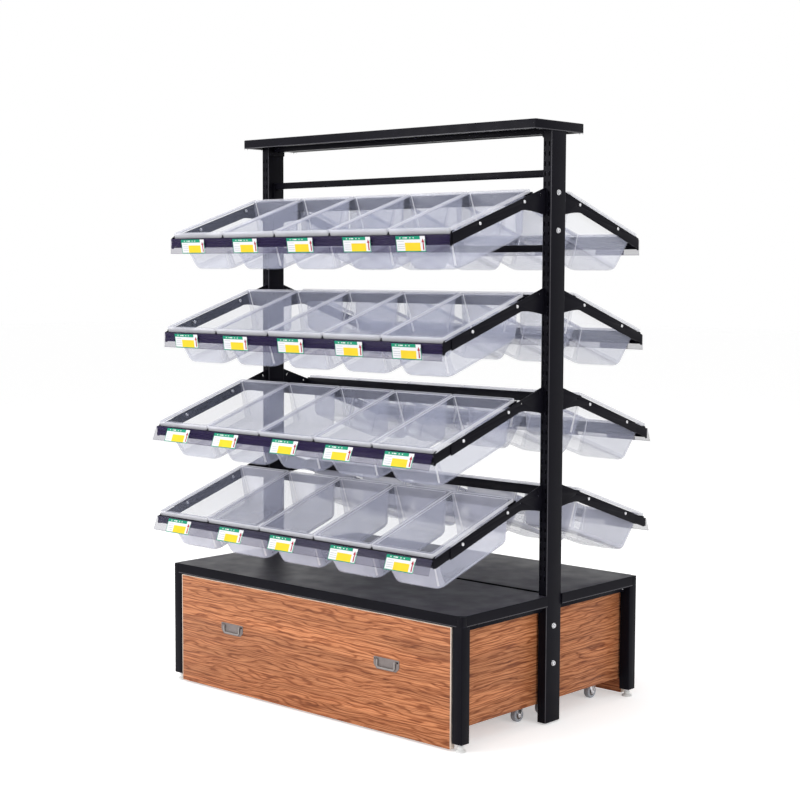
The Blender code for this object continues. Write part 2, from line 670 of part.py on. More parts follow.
def bin_wall_s(h):
    """How far the outside of a bin's wall lies from the rim's centre along the slope, at a height h."""
    return BIN_LENGTH / 2 - BIN_FLANGE - (BIN_RISE - BIN_FLANGE_THICKNESS - h) * tan(BIN_DRAFT)


def front_rail_outline(tier):
    """The front rail: a ledge under the bins' skirts, which also stops their walls, and a fishtail face."""
    reach, top = rail_origin(tier)
    lip, recess, shoulder = FRONT_RAIL_LIP, FRONT_RAIL_RECESS, FRONT_RAIL_SHOULDER
    rim_centre_s = BIN_LENGTH / 2 - BIN_BACK_OFFSET
    stop = tier_point(tier, rim_centre_s + bin_wall_s(LEDGE_H) + SEAT_GAP, LEDGE_H)
    nose = tier_point(tier, rim_centre_s + BIN_LENGTH / 2 + FRONT_LEDGE_NOSE, LEDGE_H)
    return bent_strip([
        stop, nose, (reach, top), (reach, top - lip), (reach - recess, top - lip - shoulder),
        (reach - recess, top - FRONT_RAIL_HEIGHT + lip + shoulder), (reach, top - FRONT_RAIL_HEIGHT + lip),
        (reach, top - FRONT_RAIL_HEIGHT), (reach - FRONT_RAIL_RETURN, top - FRONT_RAIL_HEIGHT)], RAIL_SHEET)


def ticket_strip_outline(tier):
    reach, top = rail_origin(tier)
    tilt = TICKET_TILTS[tier]
    start = Vector((reach - WELD_DEPTH, top))
    down = Vector((sin(tilt), -cos(tilt))) * TICKET_STRIP_HEIGHT
    out = Vector((cos(tilt), sin(tilt))) * (TICKET_STRIP_THICKNESS + WELD_DEPTH)
    skin = Vector((cos(tilt), sin(tilt))) * WELD_DEPTH
    return [tuple(start), tuple(start + skin + down), tuple(start + out + down), tuple(start + out)]


def back_rail_outline(tier):
    """An angle section: its upright leg stands behind the bins' skirts and its ledge lies under them."""
    face = -BIN_BACK_OFFSET - SEAT_GAP
    back, ledge = face - BACK_RAIL_THICKNESS, face + BACK_LEDGE
    top, low = BACK_RAIL_RISE, BACK_RAIL_RISE - BACK_RAIL_HEIGHT
    corners = ((back, top), (face, top), (face, LEDGE_H), (ledge, LEDGE_H),
               (ledge, LEDGE_H - RAIL_SHEET), (face, LEDGE_H - RAIL_SHEET), (face, low), (back, low))
    return [tier_point(tier, s, h) for s, h in corners]


def side_flange_outline(tier):
    """The strip bolted to the arm, from the back rail to the front rail."""
    start = tier_point(tier, -BIN_BACK_OFFSET - SEAT_GAP - BACK_RAIL_THICKNESS, 0.0)[0]
    finish = rail_origin(tier)[0] - FRONT_RAIL_RECESS
    top, low = -FLANGE_STEP, FLANGE_STEP - ARM_DEPTH
    return [(start, tier_line(tier, start) + top), (finish, tier_line(tier, finish) + top),
            (finish, tier_line(tier, finish) + low), (start, tier_line(tier, start) + low)]


def tier_cradle(name, tier, side):
    reach_x = FLANGE_INNER_X + WELD_DEPTH
    shape = prism_x(front_rail_outline(tier), -reach_x, reach_x)
    strip = prism_x(ticket_strip_outline(tier), -FLANGE_INNER_X, FLANGE_INNER_X)
    back = prism_x(back_rail_outline(tier), -reach_x, reach_x)
    ends = []
    for end in ENDS.values():
        flange = prism_x(side_flange_outline(tier), FLANGE_INNER_X, FLANGE_OUTER_X + WELD_DEPTH)
        ends.append(mirrored(fuse(tier_arm(tier), flange), end))
    return piece(name, mirrored(fuse(shape, strip, *ends, back), 1.0, side), POWDER_COAT)


# Bins

def rounded_ring(half_x, half_s, radius, h):
    """A rounded rectangle of the bin, as (x, s, h) points counted from the rim's centre."""
    ring = []
    for corner, (sx, ss) in enumerate(((1, -1), (1, 1), (-1, 1), (-1, -1))):
        for i in range(BIN_CORNER_STEPS + 1):
            angle = (corner - 1 + i / BIN_CORNER_STEPS) * pi / 2
            ring.append((sx * (half_x - radius) + radius * cos(angle),
                         ss * (half_s - radius) + radius * sin(angle), h))
    return ring


def bin_rings(width):
    """The bin's surface from the outside of its floor, round rim and skirt, to the inside of its floor."""
    half_x, half_s = width / 2, BIN_LENGTH / 2
    wall_x, wall_s = BIN_PITCH / 2 - BIN_GAP / 2 - BIN_FLANGE, half_s - BIN_FLANGE
    rim, skirt_low = BIN_RISE, BIN_RISE - BIN_SKIRT
    flange_low = rim - BIN_FLANGE_THICKNESS
    floor = rim - BIN_DEPTH
    shrink = (BIN_DEPTH - BIN_FLANGE_THICKNESS) * tan(BIN_DRAFT)
    inner_shrink = (BIN_DEPTH - BIN_WALL) * tan(BIN_DRAFT)
    skirt_radius = BIN_RIM_RADIUS - BIN_WALL
    wall_radius = BIN_RIM_RADIUS
    return [
        rounded_ring(wall_x - shrink, wall_s - shrink, BIN_FLOOR_RADIUS, floor),
        rounded_ring(wall_x, wall_s, wall_radius, flange_low),
        rounded_ring(half_x - BIN_WALL, half_s - BIN_WALL, skirt_radius, flange_low),
        rounded_ring(half_x - BIN_WALL, half_s - BIN_WALL, skirt_radius, skirt_low),
        rounded_ring(half_x, half_s, BIN_RIM_RADIUS, skirt_low),
        rounded_ring(half_x, half_s, BIN_RIM_RADIUS, rim),
        rounded_ring(wall_x - BIN_WALL, wall_s - BIN_WALL, wall_radius, rim),
        rounded_ring(wall_x - inner_shrink - BIN_WALL, wall_s - inner_shrink - BIN_WALL,
                     BIN_FLOOR_RADIUS - BIN_WALL, floor + BIN_WALL),
    ]


def bin_mesh(tier, side, centre_x, width):
    rings = []
    for ring in bin_rings(width):
        placed = []
        for x, s, h in ring:
            reach, z = tier_point(tier, s + BIN_LENGTH / 2 - BIN_BACK_OFFSET, h)
            placed.append((centre_x + x, side * reach, z))
        rings.append(placed)
    return loft(rings)


def bin_place(index):
    return (index - (BIN_COUNT - 1) / 2) * BIN_PITCH


def tier_bins(tier):
    """Five separate bins at the front; at the rear, a row whose touching rims are joined."""
    for index in range(BIN_COUNT):
        mesh = bin_mesh(tier, SIDES["front"], bin_place(index), BIN_PITCH - BIN_GAP)
        piece(f"bin_front_{tier + 1}_{index + 1}", mesh, CLEAR_PLASTIC)
    row = [bin_mesh(tier, SIDES["rear"], bin_place(index), BIN_PITCH + SEAT_GAP)
           for index in range(BIN_COUNT)]
    piece(f"bin_row_rear_{tier + 1}", fuse(*row), CLEAR_PLASTIC)


# Stock carts

def pull_pivot():
    """The bail's hinge line on the rear cart, as (y, z), with room for the bail's square top to turn."""
    swing = BAIL_THICKNESS / 2 / cos(pi / 4)
    return (PANEL_FACE_Y + PULL_PLATE + SEAT_GAP + swing,
            PULL_Z + PULL_HEIGHT / 2 - BAIL_TOP_MARGIN)


def pull_plate(centre_x):
    """A flush plate with clipped lower corners, and an ear at each end of the bail's hinge line."""
    half, high, low = PULL_WIDTH / 2, PULL_Z + PULL_HEIGHT / 2, PULL_Z - PULL_HEIGHT / 2
    outline = ((-half, high), (half, high), (half, low + PULL_CHAMFER), (half - PULL_CHAMFER, low),
               (PULL_CHAMFER - half, low), (-half, low + PULL_CHAMFER))
    plate = prism_y([(centre_x + x, z) for x, z in outline],
                    PANEL_FACE_Y - WELD_DEPTH, PANEL_FACE_Y + PULL_PLATE)
    pivot_y, pivot_z = pull_pivot()
    ears = []
    for sign in ENDS.values():
        ear_x = centre_x + sign * (BAIL_WIDTH / 2 + RUNNING_GAP + EAR_WIDTH / 2)
        ear = box((ear_x - EAR_WIDTH / 2, PANEL_FACE_Y, pivot_z - EAR_SIZE / 2),
                  (ear_x + EAR_WIDTH / 2, pivot_y + EAR_SIZE / 2, pivot_z + EAR_SIZE / 2))
        hole = prism_x(circle(BAIL_PIN_RADIUS + RUNNING_GAP, PIN_SIDES, (pivot_y, pivot_z)),
                       ear_x - EAR_WIDTH, ear_x + EAR_WIDTH)
        ears.append(cut(ear, hole))
    return fuse(plate, *ears)


def pull_bail(name, centre_x, side):
    """A U-shaped bail with a pin at the top of each leg."""
    pivot_y, pivot_z = pull_pivot()
    half, bar = BAIL_WIDTH / 2, BAIL_BAR
    top, low = pivot_z + BAIL_THICKNESS / 2, pivot_z - BAIL_HEIGHT
    corner = BAIL_CORNER
    outline = [(centre_x + x, z) for x, z in (
        (-half, top), (-half, low + corner), (corner - half, low), (half - corner, low),
        (half, low + corner), (half, top), (half - bar, top), (half - bar, low + corner),
        (half - corner, low + bar), (corner - half, low + bar), (bar - half, low + corner),
        (bar - half, top))]
    bail = prism_y(outline, pivot_y - BAIL_THICKNESS / 2, pivot_y + BAIL_THICKNESS / 2)
    pins = []
    for sign in ENDS.values():
        pin_x = sorted(centre_x + sign * x for x in (half - bar / 2, half + RUNNING_GAP + EAR_WIDTH))
        pins.append(prism_x(circle(BAIL_PIN_RADIUS, PIN_SIDES, (pivot_y, pivot_z)), *pin_x))
    mesh = mirrored(fuse(bail, *pins), 1.0, side)
    return piece(name, mesh, ZINC, (centre_x, side * pivot_y, pivot_z))


def cart_panel(side_name, side):
    board = box((-PANEL_WIDTH / 2, PANEL_FACE_Y - PANEL_THICKNESS, PANEL_BOTTOM_Z),
                (PANEL_WIDTH / 2, PANEL_FACE_Y, PANEL_TOP_Z))
    plates = [pull_plate(sign * PULL_X) for sign in ENDS.values()]
    return piece("cart_panel_" + side_name, mirrored(fuse(board, *plates), 1.0, side), WOOD)


def caster_fork(centre_x, centre_y):
    """A bent plate under the cart's floor with two cheeks and the axle between them."""
    half_y, half_x = FORK_PLATE_LENGTH / 2, FORK_WIDTH / 2
    plate = box((centre_x - half_x, centre_y - half_y, CART_BOTTOM_Z - FORK_SHEET),
                (centre_x + half_x, centre_y + half_y, CART_BOTTOM_Z + WELD_DEPTH))
    low = WHEEL_RADIUS - FORK_BOTTOM_MARGIN
    cheek = [(centre_y - half_y / 2, CART_BOTTOM_Z), (centre_y + half_y / 2, CART_BOTTOM_Z),
             (centre_y + FORK_BOTTOM_MARGIN, low), (centre_y - FORK_BOTTOM_MARGIN, low)]
    cheeks = [prism_x(cheek, centre_x + x - FORK_SHEET / 2, centre_x + x + FORK_SHEET / 2)
              for x in (-half_x + FORK_SHEET / 2, half_x - FORK_SHEET / 2)]
    axle = prism_x(circle(AXLE_RADIUS, PIN_SIDES, (centre_y, WHEEL_RADIUS)),
                   centre_x - half_x + FORK_SHEET / 2, centre_x + half_x - FORK_SHEET / 2)
    return fuse(plate, *cheeks, axle)


def caster_wheel(name, centre_x, centre_y):
    half = WHEEL_WIDTH / 2
    profile = ((WHEEL_BORE, -half), (WHEEL_RADIUS, -half), (WHEEL_RADIUS, half), (WHEEL_BORE, half))
    rings = [[(centre_x + x, centre_y + y, WHEEL_RADIUS + z) for y, z in circle(radius, WHEEL_SIDES)]
             for radius, x in profile]
    return piece(name, loft(rings, closed=True), WHEEL_PLASTIC, (centre_x, centre_y, WHEEL_RADIUS))


def cart_box(side_name, side):
    half_x = CART_WIDTH / 2
    board = CART_BOARD
    shell = cut(box((-half_x, CART_BACK_Y, CART_BOTTOM_Z), (half_x, CART_FRONT_Y, CART_TOP_Z)),
                box((-half_x + board, CART_BACK_Y + board, CART_BOTTOM_Z + board),
                    (half_x - board, CART_FRONT_Y - board, CART_TOP_Z + OVERRUN)))
    forks = [caster_fork(sign * CASTER_X, y) for sign in ENDS.values() for y in CASTER_Y]
    return piece("cart_box_" + side_name, mirrored(fuse(shell, *forks), 1.0, side), WOOD)


def stock_cart(side_name, side):
    cart_panel(side_name, side)
    cart_box(side_name, side)
    for end_name, end in ENDS.items():
        pull_bail(f"pull_bail_{side_name}_{end_name}", end * PULL_X, side)
        for place, y in zip(("inner", "outer"), CASTER_Y):
            caster_wheel(f"wheel_{side_name}_{end_name}_{place}", end * CASTER_X, side * y)


def main():
    for end_name, end in ENDS.items():
        upright("upright_" + end_name, end)
    base_frame()
    upper_tie_frame()
    top_shelf()
    shelf_beam()
    for side_name, side in SIDES.items():
        deck_tray(side_name, side)
        for end_name, end in ENDS.items():
            levelling_foot(f"foot_{side_name}_{end_name}", end, side)
        for tier in range(TIER_COUNT):
            tier_cradle(f"tier_cradle_{side_name}_{tier + 1}", tier, side)
        stock_cart(side_name, side)
    for tier in range(TIER_COUNT):
        tier_bins(tier)


main()
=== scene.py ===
"""Finishes a double-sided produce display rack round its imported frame, as a Blender add-on that runs as a script.

Shapes are in millimetres, in the frame's own axes: X along the rack, Y from the front side to the rear, Z up.
make() brings each mesh to metres. A tier's own frame has s down its slope, away from the uprights, and h square to
it, from the arms' top edge. What is named reach is a distance in Y from the middle of the rack.
"""

from types import SimpleNamespace

import bmesh
import bpy
import numpy as np
from bpy.props import FloatProperty, FloatVectorProperty, PointerProperty
from mathutils import Matrix, Vector
from mathutils.geometry import tessellate_polygon


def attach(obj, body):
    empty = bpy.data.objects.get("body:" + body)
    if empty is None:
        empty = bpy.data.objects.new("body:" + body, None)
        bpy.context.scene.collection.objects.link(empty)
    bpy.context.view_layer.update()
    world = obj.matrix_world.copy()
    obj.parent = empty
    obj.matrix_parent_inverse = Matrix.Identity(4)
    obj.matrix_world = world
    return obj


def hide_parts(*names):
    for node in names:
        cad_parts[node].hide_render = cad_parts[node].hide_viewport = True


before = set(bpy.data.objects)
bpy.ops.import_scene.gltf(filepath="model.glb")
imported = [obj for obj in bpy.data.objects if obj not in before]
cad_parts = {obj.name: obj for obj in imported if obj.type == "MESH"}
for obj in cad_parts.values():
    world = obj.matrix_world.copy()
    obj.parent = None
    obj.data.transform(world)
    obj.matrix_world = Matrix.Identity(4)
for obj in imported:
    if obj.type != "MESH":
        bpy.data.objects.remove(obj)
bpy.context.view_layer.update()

bl_info = {
    "name": "Produce display rack",
    "version": (1, 0, 0),
    "blender": (4, 5, 0),
    "location": "3D View > Sidebar > Rack",
    "description": "Dresses the packed rack with fine steel, clear bins, wood and small parts",
    "category": "Add Mesh",
}

MM = 0.001
SIDES = {"front": -1.0, "rear": 1.0}
ENDS = {"left": -1.0, "right": 1.0}
SIGNS = (-1.0, 1.0)
SHARP = np.radians(32.0)

# Sizes that follow the frame, in millimetres
RACK_HALF = 600.0
BASE_HALF = 418.0
POST_X = (565.4, 595.7)
POST_Y = 35.0
POST_Z = (4.5, 1731.3)
TUBE_WALL = 2.0
GAP = 0.3
SLOT_X = 573.5
SLOT_COLUMN_STEP = 14.0
SLOT_PITCH = 28.2
SLOT_FIRST_Z = 421.5
SLOT_COUNT = 45
# Tie frames, beam and top shelf
TIE_X = (559.1, 565.1)
TIE_HALF_Y = 15.0
BAR_HALF = 10.0
BEAM_HALF_X = 562.1
UPPER_TIE_Z = (1365.0, 1598.0)
UPPER_BOLTS = (1533.6, 1426.0)
LOWER_BOLTS = (287.7, 177.2)
SHELF_HALF = (598.75, 113.0)
SHELF_Z = (1706.6, 1733.6)
SHELF_LIP = 14.0
SHELF_SKIN = 1.8
BEAM_Z = (1699.0, 1731.3)
# Base, legs and deck
DECK_Z = (348.0, 378.0)
RING_Z = (346.0, 376.1)
LEG_Z = (23.6, 347.7)
LEG_SIZE = 35.0
LOWER_TIE_Z = (167.2, 349.0)
CROSS_BAR_Y = 47.8
CROSS_BAR_Z = (348.0, 375.1)
END_RAIL_X = (563.0, 580.0)
END_RAIL_Z = 330.0
END_RAIL_STOP = 34.5
END_RAIL_SCREW = (580.2, 372.0, 339.0)
RING_SKIN = 1.9
WINDOW_EDGE = 36.9
CORNER_CLIP = 20.0
DECK_SEAM = 10.0
# Tiers: a point (reach, z) of the first arms' top edge, and lists with one value for each tier from the top
TIER_SLOPE = np.radians(18.5)
TIER_TOP = (53.5, 1540.0)
TIER_PITCH = 282.0
TIER_OFFSETS = (131.0, 159.0, 194.0, 194.0)
TICKET_TILTS = np.radians((0.0, 0.0, 20.0, 20.0))
RAIL_DROPS = (3.5, 2.0, 0.0, 0.0)
SKIRT_DIPS = (8.0, 7.0, 5.0, 4.0)
FULL_FACE = 27.5
RAIL_FACES = (27.5, 27.5, 27.5, 21.5)
RAIL_REACH = 315.0
RAIL_HALF_X = 570.3
STRIP_HALF_X = 571.6
LEDGE_H = 3.7
CRADLE_BACK_S = -47.2
STRIP_LENGTHS = (46.0, 46.0, 44.5, 44.5)
LOWEST = 3
# The cradles' side flanges and the arms
FLANGE_X = (569.8, 572.0)
ARM_X = (572.0, 575.0)
ARM_DEPTH = 32.0
ARM_REACH = 438.0
ARM_FOOT = 35.3
ARCH_REACH = (112.0, 150.0)
ARCH_DROPS = (69.0, 58.0)
HOOK_REACH = (27.7, 32.7)
HOOK_DROPS = (11.0, 19.0)
BOLT_HOLE = 2.6
BOLT_DROP = 11.0
# Bins; names in S and H are in the tier's own frame
BIN_PITCH = 227.5
BIN_COUNT = 5
BIN_HALF_S = 184.0
BIN_CENTRE_S = 139.6
BIN_TOP_H = 13.0
BIN_FLOOR_H = -117.0
BIN_UNDER_H = BIN_TOP_H - 2.5
BIN_FLANGE = 10.0
BIN_DRAFT = np.tan(np.radians(8.0))
# Stock carts, their casters and pulls
PANEL_HALF_X = 562.0
PANEL_Y = (401.0, 419.0)
PANEL_Z = (6.0, 345.0)
CART_HALF_X = 560.0
CART_Y = (15.3, 400.7)
CART_Z = (55.0, 336.0)
BOARD = 16.0
TOP_BAND = 1.5
CASTER_X = 510.0
CASTER_Y = {"inner": 58.0, "outer": 306.0}
WHEEL_Z = 21.0
CHEEK_X = (9.5, 12.0)
PULL_X = 324.0
PULL_Z = (185.5, 220.5)
PULL_EAR_X = 38.3
PULL_SCREW_X = 43.6
BAIL_LEG_X = 38.0
PIVOT = (422.9213, 213.5)


def size_property(name, millimetres, description):
    """A length that the user may change, kept in metres."""
    return FloatProperty(name=name, description=description, default=millimetres * MM, unit="LENGTH")


class RackSizes(bpy.types.PropertyGroup):
    """Sizes of the fine parts."""
    edge: size_property("Edge round", 0.5, "Rounding of cut steel edges")
    post_corner: size_property("Post corner", 3.0, "Corner radius of the uprights' tube")
    slot_width: size_property("Slot width", 4.2, "Width of the uprights' slots")
    slot_height: size_property("Slot height", 14.0, "Height of the uprights' slots")
    bend: size_property("Sheet bend", 2.5, "Outer bend radius of the deck and shelf trays")
    bin_wall: size_property("Bin wall", 2.0, "Wall thickness of the clear bins")
    bin_fillet: size_property("Bin floor fillet", 15.0, "Radius between a bin's walls and floor")
    ticket_width: size_property("Ticket width", 106.0, "Width of a price ticket")
    ticket_height: size_property("Ticket height", 42.0, "Height of a price ticket")
    bolt_radius: size_property("Bolt head", 6.5, "Radius of the frame's bolt heads")
    edge_band: size_property("Edge band", 3.0, "Thickness of the pale band on the wood's ends")


def sizes_in_mm(scene):
    """The scene's sizes, each its value in metres over 0.001."""
    return SimpleNamespace(**{name: getattr(scene.rack_sizes, name) / MM for name in RackSizes.__annotations__})


def colour_property(name, description, default):
    """A colour that the user may change."""
    return FloatVectorProperty(name=name, description=description, default=default, subtype="COLOR",
                               size=3, min=0.0, max=1.0)


class RackColours(bpy.types.PropertyGroup):
    """Colours of the finishes, linear."""
    powder_coat: colour_property("Powder coat", "Black coat of the frame", (0.0058, 0.0055, 0.0088))
    deck_coat: colour_property("Deck coat", "Dark grey coat of the deck", (0.026, 0.0245, 0.033))
    # Painted highlight: a paler black on the coat's rounded edges that stands in for light caught along them; there is
    # no rubbed wear.
    edge_sheen: colour_property("Edge sheen", "Rubbed outer edges of the black coat", (0.052, 0.050, 0.060))
    clear_plastic: colour_property("Bins", "Tint of the clear bins", (0.49, 0.51, 0.64))
    # Painted highlight: the bins' rims, beads and wall corner lines are made paler and more opaque to stand in for
    # light glinting on their rounded edges
    clear_rim: colour_property("Bin rims", "Pale rolled rims of the bins", (0.84, 0.84, 0.90))
    clear_side: colour_property("Bin sides", "Tint of the bins' side walls", (0.50, 0.53, 0.67))
    clear_flange: colour_property("Bin flanges", "Flat flanges inside the bins' rims", (0.58, 0.60, 0.71))
    # Painted shade: a darker, more opaque band on the fillet round each bin's floor, standing in for the dark line that
    # light makes on the curved clear plastic
    clear_fold: colour_property("Bin folds", "Shaded folds round the bins' floors", (0.12, 0.12, 0.18))
    strip_plastic: colour_property("Ticket strips", "Tint of the clear ticket strips", (0.042, 0.029, 0.102))
    strip_low: colour_property("Lowest strips", "Tint of the ticket strips over the deck", (0.105, 0.098, 0.16))
    low_plastic: colour_property("Lowest bins", "Haze of the bins over the deck", (0.64, 0.65, 0.76))
    low_side: colour_property("Lowest bins' sides", "Haze of the side walls of the bins over the deck",
                              (0.52, 0.54, 0.66))
    wood: colour_property("Wood", "Mean colour of the laminate", (0.505, 0.186, 0.076))
    edge_band: colour_property("Edge band", "Pale band on the wood's ends", (0.80, 0.68, 0.58))
    zinc: colour_property("Zinc", "Bolts and small fittings", (0.66, 0.66, 0.68))
    pull: colour_property("Pulls", "Satin grey of the flush pulls", (0.28, 0.255, 0.245))
    pull_plate: colour_property("Pull plates", "Duller grey of the pulls' plates", (0.20, 0.172, 0.165))
    wheel: colour_property("Wheels", "Grey tyre of the casters", (0.42, 0.45, 0.50))
    foot: colour_property("Feet", "White plastic of the levelling feet", (0.80, 0.80, 0.79))
    card: colour_property("Ticket card", "White of the tickets", (0.74, 0.74, 0.76))
    green: colour_property("Ticket header", "Green header of the tickets", (0.010, 0.27, 0.155))
    yellow: colour_property("Ticket block", "Yellow block of the tickets", (0.80, 0.58, 0.030))
    rule: colour_property("Ticket rules", "Grey rules of the tickets", (0.36, 0.39, 0.43))
    red: colour_property("Ticket arrow", "Red arrow of the tickets", (0.36, 0.018, 0.035))
    floor: colour_property("Floor", "Studio floor", (0.86, 0.86, 0.86))


# Shapes, as (points, [groups of faces])

ALONG = ([2, 0, 1], [0, 2, 1], [0, 1, 2])


def unit(v):
    """Each vector over its own length."""
    return v / np.maximum(np.linalg.norm(v, axis=-1, keepdims=True), 1e-12)


def grid_quads(rows, columns, closed_rows=False):
    """Quads between neighbouring points of a grid whose rows are closed rings; the last row may join the first."""
    r = np.arange(rows if closed_rows else rows - 1)[:, None] * columns
    c = np.arange(columns)[None, :]
    after, above = (c + 1) % columns, (r + columns) % (rows * columns)
    return np.stack([r + c, r + after, above + after, above + c], -1).reshape(-1, 4)


def shell(rings, closed=False):
    """A closed surface through rings of equally many points: capped at both ends, or joined end to end."""
    rows, columns = rings.shape[:2]
    groups = [grid_quads(rows, columns, closed)]
    if not closed:
        groups += [np.arange(columns)[None], np.arange(columns)[None] + (rows - 1) * columns]
    return rings.reshape(-1, 3), groups


def thick_sheet(outer, inner, quads):
    """A closed surface from two matching sheets: both take the quads, and each edge of one quad only is bridged."""
    edges = np.stack([quads, np.roll(quads, -1, 1)], -1).reshape(-1, 2)
    _, index, count = np.unique(np.sort(edges, 1), axis=0, return_index=True, return_counts=True)
    rim = edges[index[count == 1]]
    return np.concatenate([outer, inner]), [quads, quads[:, ::-1] + len(outer),
                                            np.column_stack([rim, rim[:, ::-1] + len(outer)])]


def mitres(path, closed=True):
    """For each corner the vector that moves it one unit to the left of both its edges: (l1 + l2) / (1 + l1.l2)."""
    step = unit(np.roll(path, -1, 0) - path)
    left = np.stack([-step[:, 1], step[:, 0]], -1)
    before = np.roll(left, 1, 0)
    if not closed:
        before[0], left[-1] = left[0], before[-1]
    return (before + left) / (1 + (before * left).sum(-1, keepdims=True))


def rounded(loop, radius, steps=3):
    """Each corner becomes an arc: tangent points lie radius / tan(a) from it and the centre radius / sin(a), where a
    is half the corner's angle."""
    u, v = unit(np.roll(loop, 1, 0) - loop), unit(np.roll(loop, -1, 0) - loop)
    half = np.arccos(np.clip((u * v).sum(-1, keepdims=True), -1, 1)) / 2
    radius = np.broadcast_to(radius, len(loop))[:, None]
    centre = loop + unit(u + v) * radius / np.sin(half)
    start, end = (loop + w * radius / np.tan(half) - centre for w in (u, v))
    t, turn = np.linspace(0, 1, steps + 1)[:, None], np.maximum(np.pi - 2 * half, 1e-4)[:, None]
    arc = (np.sin((1 - t) * turn) * start[:, None] + np.sin(t * turn) * end[:, None]) / np.sin(turn)
    return (centre[:, None] + arc).reshape(-1, 2)


def rectangle(u0, v0, u1, v1):
    """Four corners, anticlockwise from (u0, v0)."""
    return np.array([(u0, v0), (u1, v0), (u1, v1), (u0, v1)])


def round_hole(radius, sides, centre):
    """Points of a circle, clockwise: centre + radius * (cos t, -sin t)."""
    t = 2 * np.pi * np.arange(sides) / sides
    return np.array(centre) + radius * np.stack([np.cos(t), -np.sin(t)], -1)


def plate(loops, low, high, edge, axis):
    """A plate square to an axis, whose outline runs anticlockwise and its holes clockwise. Round its edges a point
    moves in by edge * (1 - sin t) and from the face by edge * (1 - cos t), for t from 0 to a right angle."""
    turn = np.linspace(0, np.pi / 2, 3)
    inset, rise = edge * (1 - np.sin(turn)), edge * (1 - np.cos(turn))
    insets, levels = np.concatenate([inset, inset[::-1]]), np.concatenate([low + rise, high - rise[::-1]])
    points, groups, firsts, lasts, start = [], [], [], [], 0
    for loop in loops:
        n = len(loop)
        flat = loop[None] + mitres(loop)[None] * insets[:, None, None]
        rings = np.concatenate([flat, np.broadcast_to(levels[:, None, None], (len(levels), n, 1))], -1)
        points.append(rings.reshape(-1, 3)[:, ALONG[axis]])
        groups.append(grid_quads(len(levels), n) + start)
        firsts.append(start + np.arange(n))
        lasts.append(start + (len(levels) - 1) * n + np.arange(n))
        start += len(levels) * n
    if len(loops) == 1:
        groups += [firsts[0][None], lasts[0][None]]
    else:
        outlines = [[Vector((*p, 0.0)) for p in (loop + mitres(loop) * edge) * MM] for loop in loops]
        triangles = np.array(tessellate_polygon(outlines))
        groups += [np.concatenate(firsts)[triangles], np.concatenate(lasts)[triangles]]
    return np.concatenate(points), groups


def block(low, high, axis=0, radius=1.5, edge=0.8):
    """A bar along an axis with a rounded rectangular section and softened ends."""
    low, high = np.minimum(low, high), np.maximum(low, high)
    across = [i for i in range(3) if i != axis]
    section = rounded(rectangle(*low[across], *high[across]), radius)
    return plate([section], low[axis], high[axis], edge, axis)


def turned(profile, centre, axis, sides=24, closed=False):
    """Circles of (radius, distance along the axis) pairs about a line through the centre. A radius may be an array,
    one for each side."""
    t = 2 * np.pi * np.arange(sides) / sides
    radius = np.stack([np.broadcast_to(r, sides) for r, _ in profile])
    along = np.array([a for _, a in profile])[:, None]
    rings = np.stack([radius * np.cos(t), radius * np.sin(t), np.broadcast_to(along, radius.shape)], -1)
    return shell(rings[..., ALONG[axis]] + np.array(centre), closed)


def sheet_outline(path, thickness, radius=0.6):
    """A closed outline for sheet bent along an open path: the path, and back along it moved to its right."""
    back = path - mitres(path, closed=False) * thickness
    return rounded(np.concatenate([path, back[::-1]]), radius, 2)[::-1]


def flipped(shape, x=1.0, y=1.0):
    """The shape mirrored in X, Y or both."""
    return shape[0] * (x, y, 1.0), shape[1]


def anticlockwise(loop):
    """The loop turned to run anticlockwise, by the sign of its area."""
    after = np.roll(loop, -1, 0)
    area = (loop[:, 0] * after[:, 1] - after[:, 0] * loop[:, 1]).sum()
    return loop if area > 0 else loop[::-1]


def make(name, shapes, coats, body, stands_for=(), kinds=None):
    """One object of several closed shells, riding on a body. coats names a finish, or several that kinds picks from
    for each face."""
    points, faces, start = [], [], 0
    for shape_points, groups in shapes:
        points.append(shape_points)
        for group in groups:
            faces += (group + start).tolist()
        start += len(shape_points)
    mesh = bpy.data.meshes.new(name)
    mesh.from_pydata(np.concatenate(points) * MM, [], faces)
    made = bpy.data.objects.new(name, mesh)
    bpy.context.scene.collection.objects.link(made)
    for coat in (coats,) if isinstance(coats, str) else coats:
        mesh.materials.append(finish(coat))
    if kinds is not None:
        mesh.polygons.foreach_set("material_index", np.asarray(kinds, np.int32))
    bm = bmesh.new()
    bm.from_mesh(mesh)
    bmesh.ops.recalc_face_normals(bm, faces=bm.faces)
    bm.to_mesh(mesh)
    bm.free()
    mesh.shade_smooth()
    mesh.set_sharp_from_angle(angle=SHARP)
    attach(made, body)
    if stands_for:
        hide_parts(*stands_for)


# Finishes

def feed(tree, entry, value):
    """Links a socket to an input, or sets the input to a plain value."""
    if isinstance(value, bpy.types.NodeSocket):
        tree.links.new(value, entry)
    else:
        entry.default_value = value


def shader_node(tree, kind, entries, **settings):
    """A node of one kind with its settings, and each of the named inputs fed."""
    made = tree.nodes.new("ShaderNode" + kind)
    for name, value in settings.items():
        setattr(made, name, value)
    for name, value in entries.items():
        feed(tree, made.inputs[name], value)
    return made


def new_finish(name, colour, roughness, metallic=0.0, specular=0.5):
    """A node material of one shader; returns it with its tree and the shader's inputs."""
    made = bpy.data.materials.new("finish_" + name)
    made.use_nodes = True
    entries = made.node_tree.nodes["Principled BSDF"].inputs
    entries["Base Color"].default_value = (*colour, 1.0)
    entries["Roughness"].default_value = roughness
    entries["Metallic"].default_value = metallic
    entries["Specular IOR Level"].default_value = specular
    made.diffuse_color = (*colour, 1.0)
    return made, made.node_tree, entries


def object_place(tree, **mapping):
    """Object coordinates through a Mapping node of the given Scale, Rotation or Location."""
    place = shader_node(tree, "TexCoord", {}).outputs["Object"]
    return shader_node(tree, "Mapping", {"Vector": place, **mapping}).outputs["Vector"]


